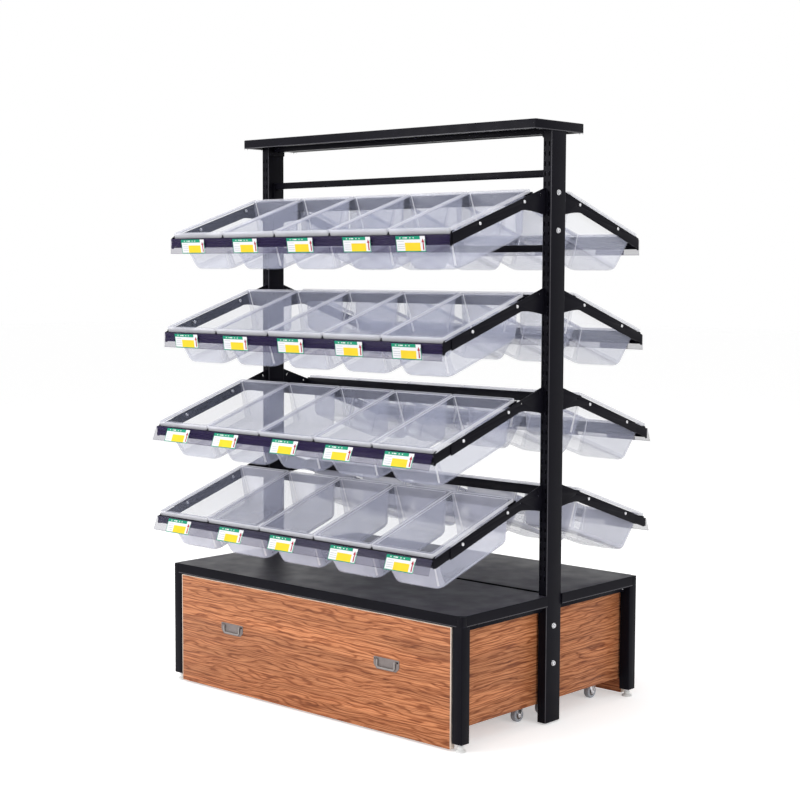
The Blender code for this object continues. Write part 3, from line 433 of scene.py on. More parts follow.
def noise(tree, scale, detail, stretch=(1.0, 1.0, 1.0), distortion=0.0):
    """The factor of noise over stretched Object coordinates."""
    return shader_node(tree, "TexNoise", {"Vector": object_place(tree, Scale=stretch), "Scale": scale, "Detail": detail,
                                   "Distortion": distortion}).outputs["Fac"]


def ramp(tree, factor, *stops):
    """Colours between (position, colour) stops."""
    made = shader_node(tree, "ValToRGB", {"Fac": factor})
    while len(made.color_ramp.elements) < len(stops):
        made.color_ramp.elements.new(0.5)
    for element, (position, colour) in zip(made.color_ramp.elements, stops):
        element.position = position
        element.color = (*colour, 1.0)
    return made.outputs["Color"]


def spread(tree, factor, low, high):
    """The factor's middle range, 0.3 to 0.7, carried to low and high."""
    return shader_node(tree, "MapRange", {"Value": factor, "From Min": 0.3, "From Max": 0.7, "To Min": low,
                                   "To Max": high}).outputs["Result"]


def darkened(tree, share, base, over):
    """The base multiplied by the other colour, by a share of its full strength."""
    made = shader_node(tree, "Mix", {"Factor": share}, data_type="RGBA", blend_type="MULTIPLY")
    for entry, colour in zip([i for i in made.inputs if i.type == "RGBA"], (base, over)):
        feed(tree, entry, colour)
    return next(o for o in made.outputs if o.type == "RGBA")


def bumped(tree, height, strength, distance):
    """A normal tilted by the slope of the height."""
    return shader_node(tree, "Bump", {"Strength": strength, "Distance": distance, "Height": height}).outputs["Normal"]


def shades(colour, *shares):
    """The colour times each share, held at 1."""
    return [tuple(min(1.0, c * share) for c in colour) for share in shares]


def speckled(name, colour, roughness, spot, contrast, metallic, specular):
    """A finish whose colour and roughness drift over noise of about spot metres, with a fine bump."""
    made, tree, entries = new_finish(name, colour, roughness, metallic, specular)
    dark, pale = shades(colour, 1 - contrast, 1 + contrast)
    feed(tree, entries["Base Color"], ramp(tree, noise(tree, 1 / spot, 5.0), (0.3, dark), (0.7, pale)))
    feed(tree, entries["Roughness"], spread(tree, noise(tree, 3 / spot, 3.0), roughness - 0.06, roughness + 0.06))
    feed(tree, entries["Normal"], bumped(tree, noise(tree, 900.0, 2.0), 0.2, 0.1 * MM))
    return made


def clear_finish(name, colour, alpha, specular):
    """Clear plastic by plain alpha, with a little drift in its tint and gloss."""
    made, tree, entries = new_finish(name, colour, 0.12, 0.0, specular)
    entries["Alpha"].default_value = alpha
    dark, pale = shades(colour, 0.93, 1.07)
    feed(tree, entries["Base Color"], ramp(tree, noise(tree, 14.0, 3.0), (0.3, dark), (0.7, pale)))
    feed(tree, entries["Roughness"], spread(tree, noise(tree, 40.0, 3.0), 0.08, 0.2))
    return made


def figure(tree, turn):
    """Growth rings as a plain saw cuts them: bands across the grain, bent by slow noise that runs along it."""
    turned_place = object_place(tree, Rotation=(0.0, 0.0, turn))
    along = shader_node(tree, "Mapping", {"Vector": turned_place, "Scale": (0.16, 1.0, 1.0),
                                          "Location": (0.37, 0.0, 0.11)})
    waves = {"Vector": along.outputs["Vector"], "Scale": 27.0, "Distortion": 22.0, "Detail": 3.0, "Detail Scale": 0.8,
             "Detail Roughness": 0.55}
    return shader_node(tree, "TexWave", waves, wave_type="BANDS", bands_direction="Z").outputs["Fac"]


def wood_finish(name, colour, turn):
    """Laminate printed as plain-sawn oak: figure, slow tone bands, streaks and short dark pores, all along the grain,
    which runs along X, or along Y for a quarter turn."""
    made, tree, entries = new_finish(name, colour, 0.5, 0.0, 0.25)

    def grain(scale, detail, share, across, distortion=0.0):
        stretch = (share, across, across) if turn == 0 else (across, share, across)
        return noise(tree, scale, detail, stretch, distortion)

    streaks, pores = grain(10.0, 6.0, 0.13, 15.0, 0.25), grain(30.0, 3.0, 0.28, 16.0)
    deep, mid, warm, pale = shades(colour, 0.76, 0.94, 1.06, 1.24)
    tone = ramp(tree, grain(5.0, 5.0, 0.18, 2.6, 0.8), (0.30, deep), (0.46, mid), (0.56, warm), (0.72, pale))
    rings = ramp(tree, figure(tree, turn), (0.0, (0.49, 0.37, 0.29)), (0.30, (0.94, 0.91, 0.88)),
                 (0.8, (1.08, 1.13, 1.18)))
    lines = ramp(tree, streaks, (0.36, (0.70, 0.61, 0.54)), (0.48, (0.97, 0.96, 0.94)), (0.62, (1.12, 1.17, 1.21)))
    dots = ramp(tree, pores, (0.39, (0.54, 0.42, 0.34)), (0.48, (0.98, 0.97, 0.95)), (0.57, (1.15, 1.22, 1.28)))
    print_colour = darkened(tree, 0.9, darkened(tree, 0.7, darkened(tree, 0.9, tone, rings), lines), dots)
    feed(tree, entries["Base Color"], print_colour)
    feed(tree, entries["Roughness"], spread(tree, streaks, 0.42, 0.58))
    feed(tree, entries["Normal"], bumped(tree, pores, 0.25, 0.12 * MM))
    return made


# Roughness, size and depth of the colour's drift, metal and specular level of the plain finishes
PLAIN = {
    # edge_sheen is a painted highlight for the coat's rounded edges
    "powder_coat": (0.38, 0.12, 0.15, 0.0, 0.05), "edge_sheen": (0.32, 0.08, 0.25, 0.0, 0.3),
    "deck_coat": (0.42, 0.2, 0.14, 0.0, 0.14), "edge_band": (0.5, 0.02, 0.06, 0.0, 0.3),
    "zinc": (0.28, 0.02, 0.15, 1.0, 0.5), "pull": (0.42, 0.02, 0.12, 0.35, 0.4),
    "pull_plate": (0.5, 0.02, 0.12, 0.3, 0.3), "wheel": (0.35, 0.02, 0.08, 0.0, 0.5),
    "foot": (0.4, 0.02, 0.05, 0.0, 0.4), "card": (0.5, 0.03, 0.02, 0.0, 0.2),
    "green": (0.5, 0.03, 0.04, 0.0, 0.1), "yellow": (0.5, 0.03, 0.04, 0.0, 0.1),
    "rule": (0.5, 0.03, 0.04, 0.0, 0.1), "red": (0.5, 0.03, 0.05, 0.0, 0.1)}
# Opacity of one surface and specular level of the clear finishes
CLEAR = {
    # clear_rim paints glints on the bins' rims; clear_fold paints shade on their floor folds
    "clear_plastic": (0.23, 0.5), "clear_side": (0.11, 0.5), "clear_rim": (0.5, 0.5), "clear_flange": (0.2, 0.5),
    "clear_fold": (0.26, 0.5), "strip_plastic": (0.25, 0.1), "strip_low": (0.25, 0.1), "low_plastic": (0.39, 0.5),
    "low_side": (0.2, 0.5)}


def finish(name):
    """The named finish, made on first use from the scene's colours."""
    made = bpy.data.materials.get("finish_" + name)
    if made:
        return made
    colours = bpy.context.scene.rack_colours
    if name in ("wood", "wood_end"):
        return wood_finish(name, colours.wood, 0.0 if name == "wood" else np.pi / 2)
    if name in CLEAR:
        return clear_finish(name, getattr(colours, name), *CLEAR[name])
    return speckled(name, getattr(colours, name), *PLAIN[name])


# Frame parts

def slotted_post(sizes):
    """The right-hand upright. Its wall is a grid: rounded tube section round, slot ends up; the cells inside slots
    are left out, and slot ends curve by moving their corners towards the middle."""
    corner, half_width, half = sizes.post_corner, sizes.slot_width / 2, POST_Y
    (x0, x1), arc = POST_X, np.radians(np.linspace(0, 90, 5))
    columns = SLOT_X + np.array([0.0, SLOT_COLUMN_STEP])
    lines = (columns[:, None] + half_width * np.array([-1.0, -0.5, 0.5, 1.0])).ravel()
    end_shape = np.tile([0.36, 0.06, 0.06, 0.36], len(columns)) * sizes.slot_width

    def bend(x, y, start):
        """A quarter circle about (x, y)."""
        return np.stack([x + corner * np.cos(arc + start), y + corner * np.sin(arc + start)], -1)

    quarter = np.pi / 2
    sections = [np.stack([lines, np.full(lines.shape, -half)], -1), bend(x1 - corner, corner - half, -quarter),
                bend(x1 - corner, half - corner, 0.0), np.stack([lines[::-1], np.full(lines.shape, half)], -1),
                bend(x0 + corner, half - corner, quarter), bend(x0 + corner, corner - half, 2 * quarter)]
    outline = np.concatenate(sections)
    starts = np.cumsum([0] + [len(section) for section in sections])
    first_rear = starts[3]
    slot_points = np.concatenate([np.arange(len(lines)), first_rear + np.arange(len(lines))])
    low = SLOT_FIRST_Z + SLOT_PITCH * np.arange(SLOT_COUNT)
    levels = np.concatenate([[POST_Z[0]], np.stack([low, low + sizes.slot_height], -1).ravel(), [POST_Z[1]]])
    heights = np.broadcast_to(levels[:, None], (len(levels), len(outline))).copy()
    push = np.concatenate([end_shape, end_shape[::-1]])
    heights[1:-1:2, slot_points] += push
    heights[2:-1:2, slot_points] -= push
    inner = outline + mitres(outline) * TUBE_WALL
    outer_points, inner_points = (
        np.concatenate([np.broadcast_to(o[None], (len(levels), *o.shape)), heights[..., None]], -1).reshape(-1, 3)
        for o in (outline, inner))
    quads = grid_quads(len(levels), len(outline)).reshape(len(levels) - 1, len(outline), 4)
    keep = np.ones(quads.shape[:2], bool)
    cells = np.concatenate([start + step + np.arange(3) for start in (0, first_rear) for step in (0, 4)])
    keep[1:-1:2, cells] = False
    shape = thick_sheet(outer_points, inner_points, quads[keep])
    # The corner arcs take kind 1, the painted edge highlight: a paler black standing in for light caught by the rounded
    # corners
    corners = np.isin(np.arange(len(outline)), starts[[1, 2, 4, 5], None] + np.array([1, 2]))
    kinds = np.broadcast_to(corners, keep.shape)[keep].astype(int)
    return shape, np.concatenate([kinds, np.zeros(len(kinds) + len(shape[1][2]), int)])


def socket_bolt(x, y, z, radius, height):
    """A cap screw along X: a turned head whose hexagonal recess follows r = a cos(30) / cos(t - 30)."""
    t = np.degrees(2 * np.pi * np.arange(24) / 24)
    hexagon = 0.5 * radius * np.cos(np.radians(30)) / np.cos(np.radians(t % 60 - 30))
    profile = [(radius * 0.96, 0.0), (radius, 0.04 * height), (radius, 0.8 * height), (radius * 0.95, 0.94 * height),
               (radius * 0.86, height), (radius * 0.6, height), (hexagon, 0.96 * height), (hexagon, 0.3 * height)]
    return turned(profile, (x, y, z), 0)


class RACK_OT_uprights(bpy.types.Operator):
    """Makes the two slotted uprights."""
    bl_idname = "rack.uprights"
    bl_label = "Uprights"

    def execute(self, context):
        post, kinds = slotted_post(sizes_in_mm(context.scene))
        coats = ("powder_coat", "edge_sheen")
        for end_name, end in ENDS.items():
            make("slotted_upright_" + end_name, [flipped(post, x=end)], coats, "rack",
                 ["upright_" + end_name], kinds)
        return {"FINISHED"}


def folded_tray(runs, z, thickness, bend):
    """A tray of bent sheet. Its outline is a list of (points, has a skirt); with one closed run it goes all round.
    Rings of the outline step from the underside down the inside of the skirt, round its edge, up the outside and over
    the bend; where there is no skirt the sheet just ends."""
    low, top = z
    closed = len(runs) == 1
    turn = np.linspace(0, np.pi / 2, 4)
    over = [(bend * (1 - np.cos(a)), top - bend * (1 - np.sin(a))) for a in turn]
    inner_bend = bend - thickness + 0.4
    under = [(thickness + inner_bend * (1 - np.cos(a)), top - thickness - inner_bend * (1 - np.sin(a)))
             for a in turn[::-1]]
    steps = np.array(under + [(thickness, low + 0.3), (thickness - 0.3, low), (0.3, low),
                              (0.0, low + 0.3), (0.0, low + 2.2)] + over)
    at = np.arange(len(steps))
    end = len(steps) - 1
    bare = np.stack([np.where((at == 0) | (at == end), 0.3, 0.0),
                     np.select([at == 0, at < end - 2, at < end], [top - thickness, top - thickness + 0.3,
                                                                   top - 0.2], top)], -1)
    parts = []
    for points, has_skirt in runs:
        inset, height = (steps if has_skirt else bare).T
        moved = points[None] + mitres(points, closed)[None] * inset[:, None, None]
        parts.append(np.concatenate([moved, np.broadcast_to(height[:, None, None], (len(steps), len(points), 1))], -1))
    return shell(np.concatenate(parts, 1))


# The first row of quads that carries the painted highlight line along the skirt's foot, and the first after it
FOOT_HIGHLIGHT_ROWS = (6, 8)


def tray_kinds(tray, edge, cap):
    """The kind of each face of a folded tray: 0, but edge for the painted highlight line along the skirt's foot, and
    cap for the top.
    """
    columns = len(tray[1][1][0])
    kinds = np.zeros(len(tray[1][0]) + 2, int)
    kinds[FOOT_HIGHLIGHT_ROWS[0] * columns:FOOT_HIGHLIGHT_ROWS[1] * columns] = edge
    kinds[-1] = cap
    return kinds


def tie_bolts(heights, sizes):
    """Bolt heads outside the uprights and plain nuts inside the tie strips, at both ends."""
    outside, inside, radius = POST_X[1], TIE_X[0], sizes.bolt_radius
    made = []
    for z in heights:
        bolt = socket_bolt(outside + 0.3, 0.0, z, radius, 4.0)
        washer = turned([(radius * 1.18, outside), (radius * 1.25, outside + 0.2), (radius * 1.2, outside + 0.8),
                         (radius * 0.9, outside + 0.9)], (0.0, 0.0, z), 0)
        nut = turned([(7.0, inside), (7.5, inside - 0.3), (7.5, inside - 4.5), (6.9, inside - 5.0),
                      (3.8, inside - 5.0), (3.6, inside - 6.1)], (0.0, 0.0, z), 0, 6)
        made += [flipped(part, x=end) for part in (bolt, washer, nut) for end in SIGNS]
    return made


class RACK_OT_top(bpy.types.Operator):
    """Makes the top shelf, its beam and the upper tie frame."""
    bl_idname = "rack.top"
    bl_label = "Top shelf and tie frame"

    def execute(self, context):
        sizes = sizes_in_mm(context.scene)
        half_x, half_y = SHELF_HALF
        low, top = SHELF_Z
        outline = rounded(rectangle(-half_x, -half_y, half_x, half_y), 2.5)
        tray = folded_tray([(outline, True)], SHELF_Z, 2.0, sizes.bend)
        lips = []
        for side in SIGNS:
            lips.append(block((-half_x + 2, side * (half_y - SHELF_LIP), low),
                              (half_x - 2, side * (half_y - SHELF_SKIN), low + 2)))
            for end in SIGNS:
                lips.append(block((end * (half_x - SHELF_LIP), side * (POST_Y + 0.6), low),
                                  (end * (half_x - SHELF_SKIN), side * (half_y - 2), low + 2), 1))
        # Kind 1 paints a highlight line along the shelf skirt's foot, where its edge catches light
        kinds = np.concatenate([tray_kinds(tray, 1, 0), np.zeros(sum(len(g) for lip in lips for g in lip[1]), int)])
        make("folded_top_shelf", [tray] + lips, ("powder_coat", "edge_sheen"), "rack",
             ["top_shelf"], kinds)
        beam = [block((-BEAM_HALF_X, -TIE_HALF_Y, BEAM_Z[0]), (BEAM_HALF_X, TIE_HALF_Y, BEAM_Z[1]), 0, 2.5)]
        for end in SIGNS:
            beam.append(block((end * BEAM_HALF_X, -POST_Y, BEAM_Z[0] - 12), (end * TIE_X[1], POST_Y, BEAM_Z[1]),
                              0, 4.0, sizes.edge))
        make("under_shelf_beam", beam, "powder_coat", "rack", ["shelf_beam"])
        low, top = UPPER_TIE_Z
        bars = [block((-TIE_X[0] - 1, -BAR_HALF, z), (TIE_X[0] + 1, BAR_HALF, z + 2 * BAR_HALF), 0, 2.0)
                for z in (low, top - 2 * BAR_HALF)]
        strips = [block((end * TIE_X[0], -TIE_HALF_Y, low), (end * TIE_X[1], TIE_HALF_Y, top), 2, 1.0)
                  for end in SIGNS]
        make("tie_frame_upper", bars + strips, "powder_coat", "rack", ["upper_tie_frame"])
        make("tie_bolts_upper", tie_bolts(UPPER_BOLTS, sizes), "zinc", "rack", ["upper_tie_frame"])
        return {"FINISHED"}


def base_corner_outline(inset, near_y):
    """The rear half of the base in plan, moved in by the inset, with clipped outer corners."""
    x, y = RACK_HALF - inset, BASE_HALF - inset
    clip = CORNER_CLIP - inset * (2 - np.sqrt(2))
    return np.array([(-x, near_y), (x, near_y), (x, y - clip), (x - clip, y), (clip - x, y), (-x, y - clip)])


class RACK_OT_base(bpy.types.Operator):
    """Makes the base frame, the deck trays and the levelling feet."""
    bl_idname = "rack.base"
    bl_label = "Base, deck and feet"

    def execute(self, context):
        sizes = sizes_in_mm(context.scene)
        near = POST_Y + GAP
        window_x = RACK_HALF - WINDOW_EDGE
        outline = rounded(base_corner_outline(RING_SKIN, near), (0.8, 0.8) + (4.0,) * 4)
        window = rounded(rectangle(-window_x, near + 25, window_x, BASE_HALF - WINDOW_EDGE), 2.0)[::-1]
        x, y, clip, skin = RACK_HALF, BASE_HALF, CORNER_CLIP, RING_SKIN
        top_outline = np.array([(x, y), (x - clip, y), (x - clip, y - skin), (x - LEG_SIZE, y - skin),
                                (x - LEG_SIZE, y - LEG_SIZE), (x - skin, y - LEG_SIZE), (x - skin, y - clip),
                                (x, y - clip)])
        leg_top = plate([rounded(top_outline, (2.5,) + (0.5,) * 7)], LEG_Z[1] - 0.5, DECK_Z[1] - 1.0, 0.4, 2)
        ring = plate([outline, window], RING_Z[0], RING_Z[1], 0.6, 2)
        steel = [ring, flipped(ring, y=-1.0)]
        for end in SIGNS:
            for side in SIGNS:
                steel.append(flipped(leg_top, end, side))
                steel.append(block((end * (RACK_HALF - LEG_SIZE), side * (BASE_HALF - LEG_SIZE), LEG_Z[0]),
                                   (end * RACK_HALF, side * BASE_HALF, LEG_Z[1]), 2, 2.5, 0.6))
                steel.append(block((end * END_RAIL_X[0], side * near, END_RAIL_Z),
                                   (end * END_RAIL_X[1], side * (BASE_HALF - END_RAIL_STOP), RING_Z[0] + 1), 1, 1.5))
            inner, outer = end * TIE_X[0], end * TIE_X[1]
            steel.append(block((inner, -TIE_HALF_Y, LOWER_TIE_Z[0]), (outer, TIE_HALF_Y, LOWER_TIE_Z[1]), 2, 1.0))
            steel.append(block((inner, -CROSS_BAR_Y, CROSS_BAR_Z[0]), (outer, CROSS_BAR_Y, CROSS_BAR_Z[1]), 1, 1.0))
        bar_x = TIE_X[0] + 1
        for z in LOWER_BOLTS:
            steel.append(block((-bar_x, -BAR_HALF, z - BAR_HALF), (bar_x, BAR_HALF, z + BAR_HALF), 0, 2.0))
        make("base_steel", steel, "powder_coat", "rack", ["base_frame"])
        screws = [flipped(socket_bolt(*END_RAIL_SCREW, 3.2, 1.8), end, side) for end in SIGNS for side in SIGNS]
        make("tie_bolts_lower", tie_bolts(LOWER_BOLTS, sizes) + screws, "zinc", "rack", ["base_frame"])
        self.deck(sizes, near)
        self.feet()
        return {"FINISHED"}

    def deck(self, sizes, near):
        """Both trays: skirts between the legs' corners, clipped corners, and a notch at each upright."""
        x, y, clip, bend = RACK_HALF, BASE_HALF, CORNER_CLIP, sizes.bend
        notch_x, seam = POST_X[0] - GAP, DECK_SEAM
        far = y - clip - 0.6
        runs = [([(x, near), (x, far)], True), ([(x - bend, far), (x - clip - 0.6, y - bend)], False),
                ([(x - clip - 0.6, y), (clip + 0.6 - x, y)], True),
                ([(clip + 0.6 - x, y - bend), (bend - x, far)], False), ([(-x, far), (-x, near)], True),
                ([(bend - x, near), (-notch_x, near), (-notch_x, seam), (notch_x, seam), (notch_x, near),
                  (x - bend, near)], False)]
        tray = folded_tray([(np.array(points), has_skirt) for points, has_skirt in runs], DECK_Z, 1.6, bend)
        # Kind 2 paints a highlight line along the deck skirt's foot, where its edge catches light
        coats = ("powder_coat", "deck_coat", "edge_sheen")
        for side_name, side in SIDES.items():
            make("deck_tray_" + side_name, [flipped(tray, y=side)], coats, "rack", ["deck_" + side_name],
                 tray_kinds(tray, 2, 1))

    def feet(self):
        """A turned pad and neck under a hexagonal nut on a threaded stem."""
        pad = [(14.2, 0.0), (15.3, 0.5), (15.5, 1.6), (15.4, 4.0), (14.4, 5.2), (11.6, 6.4), (9.4, 8.6), (8.8, 12.0),
               (8.6, 16.6), (8.0, 17.1)]
        nut = [(7.4, 17.3), (8.3, 17.7), (8.5, 18.2), (8.5, 22.3), (8.3, 22.8), (7.4, 23.2)]
        stem = [(4.4 - 0.5 * (i % 2), 16.8 + 1.15 * i) for i in range(40)]
        for side_name, side in SIDES.items():
            for end_name, end in ENDS.items():
                centre = (end * (RACK_HALF - LEG_SIZE / 2), side * (BASE_HALF - LEG_SIZE / 2), 0.0)
                body = f"foot_{side_name}_{end_name}"
                make("levelling_" + body, [turned(pad, centre, 2, 32)], "foot", body, [body])
                make("stem_" + body, [turned(nut, centre, 2, 6), turned(stem, centre, 2, 12)], "zinc", body,
                     [body])


# Tiers

def tier_line(tier, reach):
    """Height of the arms' top edge: it falls by tan(slope) of the way out, and a pitch for each tier."""
    return TIER_TOP[1] - tier * TIER_PITCH - (reach - TIER_TOP[0]) * np.tan(TIER_SLOPE)


def tier_place(tier, s, h):
    """(reach, z) of points of the tier's own frame: the origin, s along the slope and h square to it."""
    s, h = np.broadcast_arrays(s, h)
    origin = TIER_OFFSETS[tier]
    reach = origin + s * np.cos(TIER_SLOPE) + h * np.sin(TIER_SLOPE)
    return np.stack([reach, tier_line(tier, origin) - s * np.sin(TIER_SLOPE) + h * np.cos(TIER_SLOPE)], -1)


def arm_loops(tier, sizes):
    """The gusset arm's outline in (reach, z) and its holes. The arch is a parabola through three points; the hooks
    go through the slots and down behind the wall."""
    head, face = tier_line(tier, 60), ARM_FOOT
    t = np.linspace(0, 1, 13)[:, None]
    end = np.array((ARCH_REACH[1], tier_line(tier, ARCH_REACH[1]) - ARM_DEPTH))
    start = np.array((face, head - ARCH_DROPS[0]))
    pull = 2 * np.array((ARCH_REACH[0], head - ARCH_DROPS[1])) - (start + end) / 2
    arch = end * (1 - t) ** 2 + pull * 2 * t * (1 - t) + start * t ** 2
    tip = tier_line(tier, ARM_REACH)
    low = SLOT_FIRST_Z + SLOT_PITCH * int((head - 1.5 - sizes.slot_height - SLOT_FIRST_Z) / SLOT_PITCH)
    hooks = []
    for index in (1, 0):
        top = low - index * SLOT_PITCH + sizes.slot_height - 0.3
        (far, near), (neck, tip_drop), root = HOOK_REACH, HOOK_DROPS, face + 0.2
        hooks += [(root, top - neck), (near, top - neck), (near, top - tip_drop), (far, top - tip_drop), (far, top),
                  (root, top)]
    outline = np.concatenate([[(face, tier_line(tier, face)), (ARM_REACH, tip), (ARM_REACH, tip - ARM_DEPTH)], arch])
    body = rounded(anticlockwise(outline), 0.8, 2)
    holes = []
    for reach, drop in bolt_places(tier) + spare_holes(tier):
        holes.append(round_hole(BOLT_HOLE, 14, (reach, tier_line(tier, reach) - drop)))
    slit = rounded(rectangle(-1.6, -5.5, 1.6, 5.5), 1.5, 2)
    lean = np.radians(-28.0)
    turn = np.array([(np.cos(lean), np.sin(lean)), (-np.sin(lean), np.cos(lean))])
    holes.append((slit @ turn + (55, head - 12))[::-1])
    return body, holes, np.array(hooks).reshape(-1, 6, 2)


def bolt_places(tier):
    """(reach, depth under the top edge) of the two bolts that hold the cradle to the arm."""
    return [(TIER_OFFSETS[tier], BOLT_DROP), (TIER_OFFSETS[tier] + 194.5, BOLT_DROP)]


def spare_holes(tier):
    """(reach, depth under the top edge) of empty holes further in, on the arms whose cradle sits further out."""
    return [[], [], [(132.6, BOLT_DROP)], [(132.6, BOLT_DROP), (52, 23)]][tier]


def arm_shapes(tier, sizes):
    """The arm's plate and its hooks."""
    body, holes, hooks = arm_loops(tier, sizes)
    shapes = [plate([body] + holes, ARM_X[0], ARM_X[1], sizes.edge, 0)]
    for hook in hooks:
        shapes.append(plate([rounded(anticlockwise(hook), 0.5, 2)], ARM_X[0], ARM_X[1], 0.4, 0))
    return shapes


def rail_origin(tier):
    """(reach, z) of the top of the front rail's lip."""
    reach = TIER_OFFSETS[tier] + RAIL_REACH
    return np.array((reach, tier_line(tier, reach) + 1 - RAIL_DROPS[tier]))


def front_rail(tier):
    """Ledge under the bins' skirts, then lip, recess and lip again down the face, and a return under it."""
    reach, top = rail_origin(tier)
    wall_s = BIN_HALF_S - BIN_FLANGE - (BIN_UNDER_H - LEDGE_H) * BIN_DRAFT
    stop = tier_place(tier, BIN_CENTRE_S + wall_s + GAP, LEDGE_H)
    nose = tier_place(tier, BIN_CENTRE_S + BIN_HALF_S - 3.2, LEDGE_H)
    face = np.array([(0, 0), (0, -7), (-8, -11), (-8, -16.5), (0, -20.5), (0, -FULL_FACE), (-7, -FULL_FACE)])
    face[:, 1] *= RAIL_FACES[tier] / FULL_FACE
    path = np.concatenate([[stop, nose, (nose[0], top - 1)], face + (reach, top)])
    return anticlockwise(sheet_outline(path, 1.8))


def back_rail(tier):
    """Angle section: a ledge under the bins' skirts and a leg that hangs from its back edge."""
    back, low = CRADLE_BACK_S, LEDGE_H - 1.8
    corners = np.array([(back, LEDGE_H), (back + 9.5, LEDGE_H), (back + 9.5, low), (back + 2.5, low),
                        (back + 2.5, -25), (back, -25)])
    return anticlockwise(rounded(tier_place(tier, corners[:, 0], corners[:, 1]), 0.4, 2))


def side_flange(tier, sizes):
    """The cradle's side strip, bolted inside the arm, with a hole at each bolt and a foot that closes the rail."""
    start = tier_place(tier, CRADLE_BACK_S, 0.0)[0]
    reach, top = rail_origin(tier)
    front, heel, foot = reach - 2.5, reach - 14, top - RAIL_FACES[tier] - 3
    depth = ARM_DEPTH - 3.2
    outline = np.array([(start, tier_line(tier, start) - 0.6), (start, tier_line(tier, start) - depth),
                        (heel, tier_line(tier, heel) - depth), (reach - 10, foot), (front, foot),
                        (front, tier_line(tier, front) - 0.6)])
    holes = [round_hole(BOLT_HOLE, 14, (r, tier_line(tier, r) - d)) for r, d in bolt_places(tier)]
    return plate([rounded(anticlockwise(outline), 1.0, 2)] + holes, FLANGE_X[0], FLANGE_X[1] - 0.05, 0.4, 0)


def cradle_bolts(tier):
    """Pan heads outside the arms and domed nuts inside, at both ends."""
    made = []
    for reach, drop in bolt_places(tier):
        z = tier_line(tier, reach) - drop
        out, inside = ARM_X[1], FLANGE_X[0]
        head = [(4.6, out), (5.0, out + 0.3), (5.0, out + 1.4), (4.4, out + 2.4), (3.0, out + 3.0), (1.5, out + 3.1)]
        nut = [(4.9, inside), (5.1, inside - 0.3), (5.1, inside - 2.2), (4.6, inside - 3.0), (3.2, inside - 3.3),
               (2.6, inside - 4.0), (1.2, inside - 4.2)]
        shank = [(2.4, inside - 3.3), (2.4, out + 2.0)]
        for profile, sides in ((head, 20), (nut, 12), (shank, 12)):
            part = turned(profile, (0.0, reach, z), 0, sides)
            made += [part, flipped(part, x=-1.0)]
    return made


def strip_axes(tier):
    """Origin, outward and downward directions of the ticket strip in (reach, z)."""
    tilt = TICKET_TILTS[tier]
    return rail_origin(tier), np.array((np.cos(tilt), np.sin(tilt))), np.array((np.sin(tilt), -np.cos(tilt)))


def strip_points(tier, pairs):
    """(reach, z) of points that are given as (outward, downward) from the strip's origin."""
    origin, out, down = strip_axes(tier)
    pairs = np.asarray(pairs)
    return origin + pairs[:, :1] * out + pairs[:, 1:] * down


def ticket_strip(tier):
    """A clear strip: a back sheet from a hook over the rail's lip, and a channel at the foot for the tickets."""
    end = STRIP_LENGTHS[tier]
    path = strip_points(tier, [(-1.5, -0.1), (0.45, -0.1), (0.45, end), (1.1, end), (1.1, end - 1.7)])
    return plate([anticlockwise(sheet_outline(path, -0.42, 0.16))], -STRIP_HALF_X, STRIP_HALF_X, 0.1, 0)


TICKET_SHIFTS = ((-6, 3, 9, 8, -18), (-7, -11, -3, 4, -7), (-7, -16, 10, 0, 0), (-4, 6, 0, 20, 8))
TICKET_LEANS = (7.0, 6.0, 0.0, 0.0)
TICKET_COLUMNS = np.array([0.0, 0.018, 0.05, 0.13, 0.165, 0.245, 0.28, 0.30, 0.36, 0.395, 0.475, 0.51, 0.59, 0.625,
                           0.83, 0.86, 0.978, 1.0])
TICKET_ROWS = np.array([0.0, 0.07, 0.145, 0.215, 0.32, 0.345, 0.42, 0.50, 0.53, 0.64, 0.67, 0.78, 0.81, 0.945, 1.0])
TICKET_KINDS = np.array([[int(mark) for mark in row] for row in (  # 0 card, 1 green, 2 yellow, 3 rule, from the top
    "11111111111111000", "11101010010101000", "11111111111111000", "10000000000000001", "10333300000000001",
    "10000000000000001", "10000002222222001", "10333302222222001", "10000002222222001", "10333302222222001",
    "10000002222222001", "10333302222222001", "10000002222222001", "11111111111111111")])
ARROW = np.array([(0.922, 0.16), (0.972, 0.40), (0.942, 0.40), (0.950, 0.88), (0.905, 0.88), (0.908, 0.40),
                  (0.872, 0.40)])


def ticket(tier, centre_x, sizes):
    """A card between the strip's sheets: its front is a grid of coloured fields, and the arrow is a thin plate."""
    width, height = sizes.ticket_width, sizes.ticket_height
    origin, out, down = strip_axes(tier)
    lean = TICKET_LEANS[tier]

    def place(u, v, depth):
        """The card's point at shares u of its width and v of its height, leaning out by (1 - v) of the lean."""
        v = v[..., None]
        yz = origin + out * (depth + (1 - v) * lean) + down * (3.0 + v * height)
        x = centre_x + (u - 0.5) * width
        return np.concatenate([np.broadcast_to(x[..., None], (*u.shape, 1)), yz], -1)

    u, v = np.meshgrid(TICKET_COLUMNS, TICKET_ROWS)
    rows, columns = u.shape
    r, c = np.arange(rows - 1)[:, None] * columns, np.arange(columns - 1)[None]
    quads = np.stack([r + c, r + c + 1, r + c + 1 + columns, r + c + columns], -1).reshape(-1, 4)
    card = thick_sheet(place(u, v, 1.5).reshape(-1, 3), place(u, v, 1.15).reshape(-1, 3), quads)
    kinds = np.concatenate([TICKET_KINDS.ravel(), np.zeros(len(quads), int), np.zeros(len(card[1][2]), int)])
    arrow = np.stack([place(ARROW[:, 0], ARROW[:, 1], depth) for depth in (1.48, 1.6)])
    points, groups = shell(arrow)
    return (card, kinds), ((points, groups), np.full(sum(len(g) for g in groups), 4))


